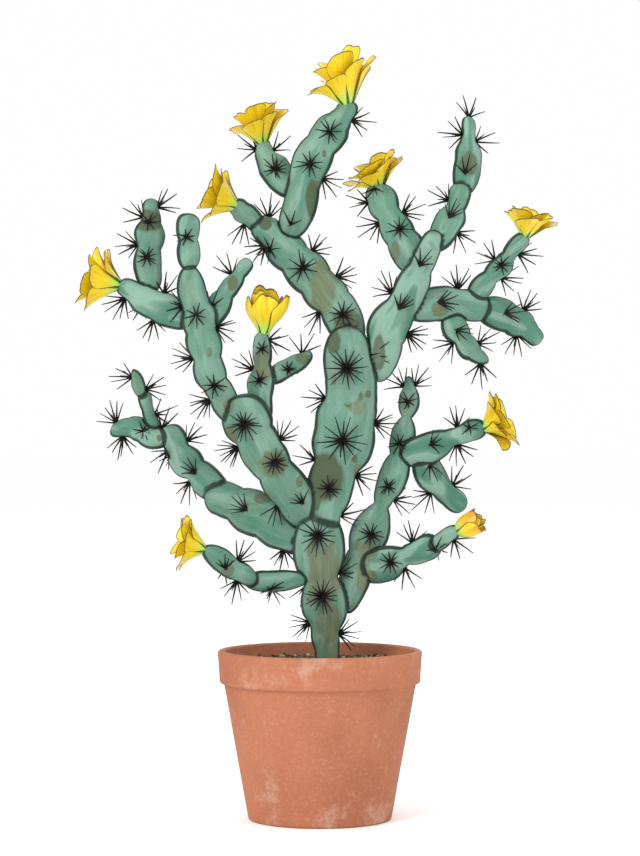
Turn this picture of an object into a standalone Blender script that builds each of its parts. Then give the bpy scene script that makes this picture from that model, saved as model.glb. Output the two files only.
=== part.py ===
"""Potted paddle cactus: a much-branched prickly pear with beaded pads and yellow flowers.

Metres, +Z up. The origin is the middle of the pot's underside. The plant's flat faces look
along -Y. Lengths in the layout tables are millimetres, turned to metres where they are used.
"""

import math

import bmesh
import bpy
from mathutils import Matrix, Vector

MM = 0.001

# Pot, in millimetres
POT_HEIGHT = 165.0
POT_RIM_RADIUS = 100.0
POT_BASE_RADIUS = 70.0
POT_WALL = 7.5
POT_FLOOR = 10.0
RIM_BAND_HEIGHT = 32.0
RIM_BAND_STEP = 6.0
EDGE_ROUND = 2.5
POT_STEPS = 48

# Drain holes stand off the middle, so that the middle of the underside is solid
DRAIN_HOLES = 3
DRAIN_RADIUS = 7.0
DRAIN_CIRCLE = 36.0

# Soil
SOIL_LEVEL = 153.0
SOIL_CROWN = 2.0
GAP = 0.3

# Pads: half-thickness grows with half-width, but a slim pad is nearly round
FLATNESS = 0.42
LEAST_HALF_THICKNESS = 3.0
PAD_SIDES = 12
CAP_RINGS = (0.6, 0.92)
PINCH_STARTS = 0.35
PINCH_FULL = 0.85

# Flowers
FLOWER_NECK = 5.0
PETAL_WALL = 2.6
CUP_DEPTH_SHARE = 0.35
NOTCH_DEPTH_SHARE = 0.12

COLOURS = {
    "pad": ((0.180, 0.340, 0.250), 0.55),
    "trunk": ((0.150, 0.290, 0.200), 0.60),
    "petal": ((0.740, 0.570, 0.018), 0.45),
    "terracotta": ((0.460, 0.170, 0.085), 0.85),
    "soil": ((0.045, 0.028, 0.018), 0.95),
}

# Each pad: what it grows from, what else it is trimmed by, its depth at base and tip, its
# turn about its own length in degrees, how far it pinches between beads, the point its base
# starts from, its beads as (x, z, half-width) with an own pinch after some, and its tip.
PADS = {
    "trunk_lower": dict(
        parent=None, depth=(0, 0), turn=0, pinch=0.79, base=(7, 112), tip=(1, 300),
        beads=[(7, 134, 10, 1.0), (7, 160, 12, 1.0), (6, 180, 16, 1.0), (4, 207, 23), (-1, 262, 26)],
    ),
    "trunk_upper": dict(
        parent="trunk_lower", depth=(0, -3), turn=0, pinch=0.93, base=(3, 276), tip=(25, 482),
        beads=[(9, 321, 23), (22, 366, 31), (26, 392, 31), (30, 423, 26), (28, 446, 25)],
    ),
    "left_limb_pad_1": dict(
        parent="trunk_upper", trims=("trunk_lower",), depth=(4, -28), turn=-8, pinch=0.82,
        base=(-6, 287), tip=(-75, 415),
        beads=[(-29, 319, 22), (-57, 362, 23), (-70, 387, 25)],
    ),
    "left_limb_pad_2": dict(
        parent="left_limb_pad_1", depth=(-20, -46), turn=8, pinch=0.86, base=(-80, 388), tip=(-126, 540),
        beads=[(-96, 413, 15), (-107, 436, 16), (-112, 462, 18), (-116, 487, 18), (-123, 510, 15)],
        ends=(0.5, 0.7),
    ),
    "left_limb_tip": dict(
        parent="left_limb_pad_2", depth=(-44, -50), turn=20, pinch=0.79, base=(-126, 532), tip=(-126, 588),
        beads=[(-126, 550, 12), (-127, 575, 12)], ends=(0.7, 0.5),
    ),
    "left_limb_twig": dict(
        parent="left_limb_pad_2", depth=(-34, -14), turn=-15, pinch=0.80, base=(-108, 482), tip=(-67, 545),
        beads=[(-99, 499, 13), (-84, 524, 10), (-74, 538, 8)],
    ),
    "left_side_pad_1": dict(
        parent="left_limb_pad_2", depth=(-30, -38), turn=6, pinch=0.92, base=(-117, 490), tip=(-195, 521),
        beads=[(-138, 493, 16), (-153, 498, 18), (-171, 506, 15), (-182, 513, 12)],
    ),
    "left_side_pad_2": dict(
        parent="left_side_pad_1", depth=(-30, -18), turn=14, pinch=0.85, base=(-163, 512), tip=(-164, 605),
        beads=[(-167, 541, 14), (-166, 569, 16), (-164, 593, 10)],
    ),
    "left_inner_pad_1": dict(
        parent="left_limb_pad_1", depth=(-16, 0), turn=-12, pinch=0.75, base=(-54, 387), tip=(-55, 476),
        beads=[(-57, 405, 11, 1.0), (-58, 428, 14), (-56, 461, 10)],
    ),
    "left_inner_pad_2": dict(
        parent="left_inner_pad_1", depth=(-4, 10), turn=-16, pinch=0.95, base=(-51, 428), tip=(-9, 457),
        beads=[(-38, 437, 10), (-24, 445, 10)],
    ),
    "low_left_pad_1": dict(
        parent="trunk_lower", trims=("left_limb_pad_1", "trunk_upper"), depth=(10, 40), turn=8,
        pinch=0.85, base=(-6, 267), tip=(-114, 316),
        beads=[(-39, 285, 24), (-68, 299, 23), (-98, 313, 18)],
    ),
    "low_left_pad_2": dict(
        parent="low_left_pad_1", depth=(38, 52), turn=-10, pinch=0.80, base=(-93, 313), tip=(-153, 384),
        beads=[(-115, 331, 17), (-133, 349, 17), (-145, 369, 15)],
    ),
    "low_left_pad_3": dict(
        parent="low_left_pad_2", depth=(50, 58), turn=12, pinch=0.84, base=(-148, 374), tip=(-210, 383),
        beads=[(-168, 374, 13), (-183, 381, 13), (-199, 381, 11)],
    ),
    "low_left_pad_4": dict(
        parent="low_left_pad_3", depth=(54, 48), turn=18, pinch=0.90, base=(-163, 377), tip=(-175, 420),
        beads=[(-169, 395, 8), (-174, 409, 8)],
    ),
    "low_left_pad_5": dict(
        parent="low_left_pad_4", depth=(48, 44), turn=-12, pinch=1.0, base=(-174, 411), tip=(-187, 441),
        beads=[(-179, 422, 8), (-182, 428, 8)], ends=(0.7, 0.8),
    ),
    "base_left_pad_1": dict(
        parent="trunk_lower", depth=(0, -22), turn=-8, pinch=1.03, base=(-8, 235), tip=(-75, 233),
        beads=[(-39, 233, 11), (-55, 233, 11)], ends=(1.0, 0.9),
    ),
    "base_left_pad_2": dict(
        parent="base_left_pad_1", depth=(-20, -44), turn=10, pinch=1.03, base=(-62, 232), tip=(-113, 267),
        beads=[(-81, 244, 12), (-93, 253, 12)], ends=(0.6, 0.7),
    ),
    "crown_left_pad_1": dict(
        parent="trunk_upper", depth=(8, 28), turn=6, pinch=0.83, base=(34, 462), tip=(-64, 588),
        beads=[(21, 493, 20), (6, 514, 22), (-14, 538, 22), (-35, 559, 20), (-51, 576, 16)],
    ),
    "crown_left_pad_2": dict(
        parent="crown_left_pad_1", depth=(22, -8), turn=-8, pinch=0.87, base=(-32, 571), tip=(29, 702),
        beads=[(-21, 597, 17), (-8, 643, 20), (11, 672, 18), (25, 689, 12)],
    ),
    "crown_left_pad_3": dict(
        parent="crown_left_pad_2", depth=(18, 38), turn=10, pinch=0.98, base=(-23, 612), tip=(-58, 667),
        beads=[(-39, 629, 15), (-46, 640, 16), (-54, 653, 12)],
    ),
    "crown_left_pad_4": dict(
        parent="crown_left_pad_1", depth=(28, 18), turn=-14, pinch=1.0, base=(-58, 580), tip=(-86, 605),
        beads=[(-74, 593, 12), (-80, 599, 10)],
    ),
    "crown_right_pad_1": dict(
        parent="trunk_upper", depth=(8, -12), turn=6, pinch=0.85, base=(52, 428), tip=(113, 575),
        beads=[(61, 455, 18), (68, 481, 22), (90, 521, 17), (105, 553, 12)],
    ),
    "crown_right_pad_2": dict(
        parent="crown_right_pad_1", depth=(0, 22), turn=-10, pinch=0.86, base=(102, 531), tip=(58, 622),
        beads=[(86, 557, 18), (74, 580, 17), (61, 605, 17)],
    ),
    "crown_right_pad_3": dict(
        parent="crown_right_pad_1", trims=("crown_right_pad_2",), depth=(-8, 8), turn=-14, pinch=0.80,
        base=(110, 554), tip=(141, 621),
        beads=[(127, 584, 16), (136, 609, 12)], ends=(0.7, 0.5),
    ),
    "crown_right_pad_4": dict(
        parent="crown_right_pad_3", depth=(10, 20), turn=12, pinch=0.97, base=(140, 611), tip=(146, 692),
        beads=[(144, 635, 14), (146, 652, 14), (146, 675, 8)],
    ),
    "right_arm_pad_1": dict(
        parent="crown_right_pad_1", depth=(4, 28), turn=4, pinch=1.0, base=(84, 497), tip=(167, 497),
        beads=[(108, 503, 17), (124, 505, 18), (139, 505, 17)],
    ),
    "right_arm_pad_2": dict(
        parent="right_arm_pad_1", depth=(24, 12), turn=16, pinch=0.74, base=(147, 504), tip=(203, 573),
        beads=[(159, 521, 12), (177, 540, 13), (194, 561, 10)], ends=(0.7, 0.5),
    ),
    "right_arm_pad_3": dict(
        parent="right_arm_pad_1", trims=("right_arm_pad_2",), depth=(28, 44), turn=-8, pinch=0.86,
        base=(156, 501), tip=(219, 467),
        beads=[(179, 495, 17), (198, 486, 17), (212, 474, 10)],
    ),
    "right_arm_pad_4": dict(
        parent="right_arm_pad_1", depth=(20, 0), turn=-14, pinch=0.82, base=(130, 497), tip=(160, 442),
        beads=[(134, 477, 14), (147, 460, 13), (157, 449, 8)],
    ),
    "right_stem_pad_1": dict(
        parent="trunk_lower", depth=(8, 34), turn=-8, pinch=0.42, base=(24, 200), tip=(88, 434),
        beads=[(36, 241, 16, 0.82), (49, 278, 19, 0.48), (72, 333, 15, 0.66), (82, 374, 13), (88, 409, 11)],
        ends=(0.5, 0.8),
    ),
    "right_stem_pad_2": dict(
        parent="right_stem_pad_1", depth=(26, -8), turn=10, pinch=0.82, base=(80, 352), tip=(162, 382),
        beads=[(108, 363, 16), (146, 379, 11)],
    ),
    "right_stem_pad_3": dict(
        parent="right_stem_pad_2", trims=("right_stem_pad_1",), depth=(20, 44), turn=-10, pinch=0.95,
        base=(101, 358), tip=(143, 302),
        beads=[(110, 334, 16), (131, 313, 12)],
    ),
    "low_right_pad_1": dict(
        parent="right_stem_pad_1", trims=("trunk_lower",), depth=(14, -12), turn=8, pinch=0.67,
        base=(38, 241), tip=(116, 271),
        beads=[(66, 249, 18), (101, 264, 14)],
    ),
    "low_right_pad_2": dict(
        parent="low_right_pad_1", depth=(-12, -24), turn=-12, pinch=1.0, base=(107, 265), tip=(136, 284),
        beads=[(120, 273, 9), (127, 278, 9)], ends=(0.6, 0.6),
    ),
}

# Each flower: the pad that bears it, the middle of its base, the middle of its mouth, the
# mouth's radius, how many petals its rim shows, and how early it flares (1 is a cone).
FLOWERS = {
    "flower_crown_top": dict(
        pad="crown_left_pad_2", base=(27, -8, 697), mouth=(19, -13, 738), radius=37, petals=7, flare=1.1,
    ),
    "flower_crown_left": dict(
        pad="crown_left_pad_3", base=(-57, 37, 663), mouth=(-63, 33, 695), radius=30, petals=7, flare=1.1,
    ),
    "flower_crown_tip": dict(
        pad="crown_left_pad_4", base=(-81, 19, 600), mouth=(-107, 14, 614), radius=28, petals=6, flare=1.1,
    ),
    "flower_left_side": dict(
        pad="left_side_pad_1", base=(-193, -38, 520), mouth=(-223, -43, 528), radius=32, petals=7, flare=1.1,
    ),
    "flower_inner": dict(
        pad="left_inner_pad_1", base=(-55, 0, 474), mouth=(-51, -4, 507), radius=24, petals=5, flare=1.8,
    ),
    "flower_crown_right": dict(
        pad="crown_right_pad_2", base=(58, 22, 619), mouth=(50, 17, 643), radius=33, petals=7, flare=1.1,
    ),
    "flower_right_arm": dict(
        pad="right_arm_pad_2", base=(202, 12, 570), mouth=(207, 8, 591), radius=28, petals=7, flare=1.1,
    ),
    "flower_right_stem": dict(
        pad="right_stem_pad_2", base=(160, -8, 381), mouth=(180, -12, 391), radius=31, petals=7, flare=1.1,
    ),
    "bud_low_right": dict(
        pad="low_right_pad_2", base=(134, -23, 282), mouth=(152, -27, 292), radius=12, petals=4, flare=0.7,
    ),
    "flower_base_left": dict(
        pad="base_left_pad_2", base=(-111, -43, 265), mouth=(-136, -47, 275), radius=26, petals=6, flare=1.1,
    ),
}


def clear_scene():
    for thing in list(bpy.data.objects):
        bpy.data.objects.remove(thing, do_unlink=True)


def new_collection(name):
    group = bpy.data.collections.new(name)
    bpy.context.scene.collection.children.link(group)
    return group


def new_material(name):
    colour, roughness = COLOURS[name]
    material = bpy.data.materials.new(name)
    material.use_nodes = True
    shader = material.node_tree.nodes["Principled BSDF"]
    shader.inputs["Base Color"].default_value = (*colour, 1.0)
    shader.inputs["Roughness"].default_value = roughness
    shader.inputs["Metallic"].default_value = 0.0
    return material


def add_mesh(name, collection, points, faces, edges=()):
    mesh = bpy.data.meshes.new(name)
    mesh.from_pydata([Vector(point) * MM for point in points], edges, faces)
    mesh.update()
    piece = bpy.data.objects.new(name, mesh)
    collection.objects.link(piece)
    return piece


def finish_part(piece, material):
    piece.data.materials.append(material)
    piece.data.shade_smooth()
    piece.data.set_sharp_from_angle(angle=math.radians(50))


def make_cutter(piece):
    piece.hide_render = True
    piece.display_type = "WIRE"


def cut(piece, cutter):
    modifier = piece.modifiers.new("cut_" + cutter.name, "BOOLEAN")
    modifier.operation = "DIFFERENCE"
    modifier.solver = "EXACT"
    modifier.object = cutter


# ---------------------------------------------------------------- lofted bodies


def skin(rings, first_pole, last_pole):
    """Points and faces of a closed skin through rings of equal counts, with a pole at each end."""
    sides = len(rings[0])
    points = [point for ring in rings for point in ring]
    points += [first_pole, last_pole]
    faces = []
    for row in range(len(rings) - 1):
        here = row * sides
        above = here + sides
        for side in range(sides):
            after = (side + 1) % sides
            faces.append((here + side, here + after, above + after, above + side))
    top = (len(rings) - 1) * sides
    for side in range(sides):
        after = (side + 1) % sides
        faces.append((len(points) - 2, after, side))
        faces.append((len(points) - 1, top + side, top + after))
    return points, faces


def pad_points(pad):
    """The pad's base, beads and tip as points in space, with the depth shared out by distance."""
    flat = [pad["base"], *[bead[:2] for bead in pad["beads"]], pad["tip"]]
    steps = [math.dist(a, b) for a, b in zip(flat, flat[1:])]
    front, back = pad["depth"]
    points = []
    for index, (x, z) in enumerate(flat):
        share = sum(steps[:index]) / sum(steps)
        points.append(Vector((x, front + (back - front) * share, z)))
    return points


def waist_factor(pad, bead, following, distance):
    """How narrow the pad is between two beads: they only pinch when they stand well apart."""
    pinch = bead[3] if len(bead) > 3 else pad["pinch"]
    apart = distance / (bead[2] + following[2])
    share = min(1.0, max(0.0, (apart - PINCH_STARTS) / (PINCH_FULL - PINCH_STARTS)))
    return 1.0 - (1.0 - pinch) * share


def pad_stations(pad):
    """(centre, half-width) of each ring between the pad's two poles."""
    points = pad_points(pad)
    beads = pad["beads"]
    base_power, tip_power = pad.get("ends", (0.5, 0.5))
    stations = []
    for share in reversed(CAP_RINGS):
        width = beads[0][2] * (1.0 - share**2) ** base_power
        stations.append((points[1].lerp(points[0], share), width))
    for index, bead in enumerate(beads):
        here = points[index + 1]
        stations.append((here, bead[2]))
        if index + 1 < len(beads):
            following = beads[index + 1]
            there = points[index + 2]
            factor = waist_factor(pad, bead, following, (there - here).length)
            middle = here.lerp(there, 0.5)
            stations.append((middle, factor * (bead[2] + following[2]) / 2))
    for share in CAP_RINGS:
        width = beads[-1][2] * (1.0 - share**2) ** tip_power
        stations.append((points[-2].lerp(points[-1], share), width))
    return points[0], stations, points[-1]


def pad_skin(pad, grow=0.0):
    """The pad's skin, made larger all over by grow."""
    first, stations, last = pad_stations(pad)
    centres = [first, *[centre for centre, _ in stations], last]
    turn = math.radians(pad["turn"])
    rings = []
    for index, (centre, half_width) in enumerate(stations):
        along = (centres[index + 2] - centres[index]).normalized()
        facing = Vector((0, -1, 0))
        facing = (facing - along * along.dot(facing)).normalized()
        facing.rotate(Matrix.Rotation(turn, 3, along))
        across = along.cross(facing)
        half_thickness = min(half_width, FLATNESS * half_width + LEAST_HALF_THICKNESS)
        half_width = half_width + grow
        half_thickness = half_thickness + grow
        ring = []
        for side in range(PAD_SIDES):
            angle = math.tau * side / PAD_SIDES
            sideways = across * half_width * math.cos(angle)
            ring.append(centre + sideways + facing * half_thickness * math.sin(angle))
        rings.append(ring)
    first = first + (first - stations[0][0]).normalized() * grow
    last = last + (last - stations[-1][0]).normalized() * grow
    points, faces = skin(rings, first, last)
    return points, [face[::-1] for face in faces]


def build_pads(parts, cutters):
    """Every pad, and beside each one a slightly larger cutter that shapes what grows from it."""
    green = new_material("pad")
    bark = new_material("trunk")
    shapers = {}
    for name, pad in PADS.items():
        shapers[name] = add_mesh("cutter_" + name, cutters, *pad_skin(pad, GAP))
        make_cutter(shapers[name])
    for name, pad in PADS.items():
        piece = add_mesh(name, parts, *pad_skin(pad))
        finish_part(piece, bark if name == "trunk_lower" else green)
        for other in (pad["parent"], *pad.get("trims", ())):
            if other:
                cut(piece, shapers[other])
    return shapers


# ---------------------------------------------------------------- flowers


def flower_rings(flower):
    """Rings of a scalloped funnel: up the outside, over the rim and down into the cup."""
    base = Vector(flower["base"])
    mouth = Vector(flower["mouth"])
    along = (mouth - base).normalized()
    depth = (mouth - base).length
    across = along.cross(Vector((0, 1, 0))).normalized()
    other = along.cross(across)
    sides = 2 * flower["petals"]

    def ring(share, radius, scallop):
        points = []
        for side in range(sides):
            angle = math.tau * side / sides
            short = scallop * (side % 2)
            reach = share * depth - short * NOTCH_DEPTH_SHARE * depth
            spread = radius * (1.0 - 0.08 * short)
            turned = across * math.cos(angle) + other * math.sin(angle)
            points.append(base + along * reach + turned * spread)
        return points

    def outer(share):
        return FLOWER_NECK + (flower["radius"] - FLOWER_NECK) * share ** flower["flare"]

    rings = [ring(share, outer(share), 0.0) for share in (0.0, 0.3, 0.65)]
    rings.append(ring(1.0, outer(1.0), 1.0))
    rings.append(ring(1.0, outer(1.0) - PETAL_WALL, 1.0))
    rings.append(ring(0.7, max(3.0, outer(0.65) - PETAL_WALL), 0.0))
    rings.append(ring(0.42, max(2.0, outer(0.3) - PETAL_WALL), 0.0))
    bottom = base - along * FLOWER_NECK * 0.8
    return rings, bottom, base + along * depth * CUP_DEPTH_SHARE


def build_flowers(parts, shapers):
    yellow = new_material("petal")
    for name, flower in FLOWERS.items():
        points, faces = skin(*flower_rings(flower))
        piece = add_mesh(name, parts, points, faces)
        finish_part(piece, yellow)
        cut(piece, shapers[flower["pad"]])


# ---------------------------------------------------------------- pot and soil


def turned(name, collection, profile):
    """A profile of (radius, height) turned about Z; it runs top to bottom on its outer side."""
    edges = [(index, index + 1) for index in range(len(profile) - 1)]
    piece = add_mesh(name, collection, [(r, 0, z) for r, z in profile], [], edges)
    screw = piece.modifiers.new("turn", "SCREW")
    screw.axis = "Z"
    screw.steps = POT_STEPS
    screw.render_steps = POT_STEPS
    screw.use_merge_vertices = True
    screw.merge_threshold = 0.00001
    return piece


def wall_radius(height):
    """Outer radius of the pot's tapered wall at a height, below its rim band."""
    share = height / (POT_HEIGHT - RIM_BAND_HEIGHT)
    return POT_BASE_RADIUS + (POT_RIM_RADIUS - RIM_BAND_STEP - POT_BASE_RADIUS) * share


def inner_radius(height):
    """Inner radius of the pot's wall: it keeps on straight up past the rim band."""
    return wall_radius(height) - POT_WALL


def build_pot(parts, cutters):
    band_foot = POT_HEIGHT - RIM_BAND_HEIGHT
    profile = [
        (0.0, POT_FLOOR),
        (inner_radius(POT_FLOOR), POT_FLOOR),
        (inner_radius(POT_HEIGHT - EDGE_ROUND), POT_HEIGHT - EDGE_ROUND),
        (inner_radius(POT_HEIGHT) + EDGE_ROUND, POT_HEIGHT),
        (POT_RIM_RADIUS - EDGE_ROUND, POT_HEIGHT),
        (POT_RIM_RADIUS, POT_HEIGHT - EDGE_ROUND),
        (POT_RIM_RADIUS - 1.5, band_foot + EDGE_ROUND),
        (POT_RIM_RADIUS - EDGE_ROUND - 1.5, band_foot),
        (wall_radius(band_foot), band_foot),
        (wall_radius(EDGE_ROUND), EDGE_ROUND),
        (POT_BASE_RADIUS - EDGE_ROUND, 0.0),
        (0.0, 0.0),
    ]
    pot = turned("pot", parts, profile)
    for index in range(DRAIN_HOLES):
        angle = math.tau * index / DRAIN_HOLES + math.pi / 2
        hole = bmesh.new()
        bmesh.ops.create_cone(
            hole, cap_ends=True, segments=16, radius1=DRAIN_RADIUS * MM, radius2=DRAIN_RADIUS * MM,
            depth=4 * POT_FLOOR * MM,
        )
        mesh = bpy.data.meshes.new(f"drain_{index + 1}")
        hole.to_mesh(mesh)
        hole.free()
        drain = bpy.data.objects.new(mesh.name, mesh)
        cutters.objects.link(drain)
        reach = DRAIN_CIRCLE * MM
        drain.location = (reach * math.cos(angle), reach * math.sin(angle), POT_FLOOR / 2 * MM)
        make_cutter(drain)
        cut(pot, drain)
    finish_part(pot, new_material("terracotta"))


def build_soil(parts, shapers):
    foot = POT_FLOOR + GAP
    edge = SOIL_LEVEL - SOIL_CROWN
    profile = [
        (0.0, SOIL_LEVEL + SOIL_CROWN),
        (0.5 * inner_radius(edge), SOIL_LEVEL + SOIL_CROWN / 2),
        (inner_radius(edge) - 2 * GAP, edge),
        (inner_radius(foot) - 2 * GAP, foot),
        (0.0, foot),
    ]
    soil = turned("soil", parts, profile)
    cut(soil, shapers["trunk_lower"])
    finish_part(soil, new_material("soil"))


def main():
    clear_scene()
    parts = new_collection("potted_paddle_cactus")
    cutters = new_collection("cutters")
    shapers = build_pads(parts, cutters)
    build_flowers(parts, shapers)
    build_pot(parts, cutters)
    build_soil(parts, shapers)


main()
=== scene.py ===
"""Looks of the potted paddle cactus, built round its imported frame.

Metres, +Z up; the plant's flat faces look along -Y. Lengths in the layout tables are in
millimetres and are turned to metres where they are used.
"""

import math

import bmesh
import bpy
import numpy as np
from mathutils import Matrix, Vector, noise
from mathutils.bvhtree import BVHTree


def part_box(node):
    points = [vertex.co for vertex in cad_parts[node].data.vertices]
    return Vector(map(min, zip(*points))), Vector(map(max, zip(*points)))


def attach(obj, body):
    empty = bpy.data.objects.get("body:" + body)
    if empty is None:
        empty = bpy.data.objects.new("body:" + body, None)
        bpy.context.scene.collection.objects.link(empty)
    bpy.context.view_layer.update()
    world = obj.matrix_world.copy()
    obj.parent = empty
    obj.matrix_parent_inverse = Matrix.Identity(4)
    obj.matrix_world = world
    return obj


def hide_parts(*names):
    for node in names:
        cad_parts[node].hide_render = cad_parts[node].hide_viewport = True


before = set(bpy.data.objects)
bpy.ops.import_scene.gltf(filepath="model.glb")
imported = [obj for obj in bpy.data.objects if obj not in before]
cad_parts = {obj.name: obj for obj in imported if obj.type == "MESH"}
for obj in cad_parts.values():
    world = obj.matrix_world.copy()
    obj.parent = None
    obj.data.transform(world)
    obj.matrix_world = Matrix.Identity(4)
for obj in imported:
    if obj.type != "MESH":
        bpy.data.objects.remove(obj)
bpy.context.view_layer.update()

bl_info = {
    "name": "Potted paddle cactus",
    "version": (1, 0, 0),
    "blender": (4, 5, 0),
    "location": "3D View > Sidebar > Cactus",
    "description": "Builds a branching paddle cactus with spines and flowers in a clay pot",
    "category": "Object",
}

MM = 0.001
BODY = "root"

# ------------------------------------------------------------------ layout, in millimetres

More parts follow.
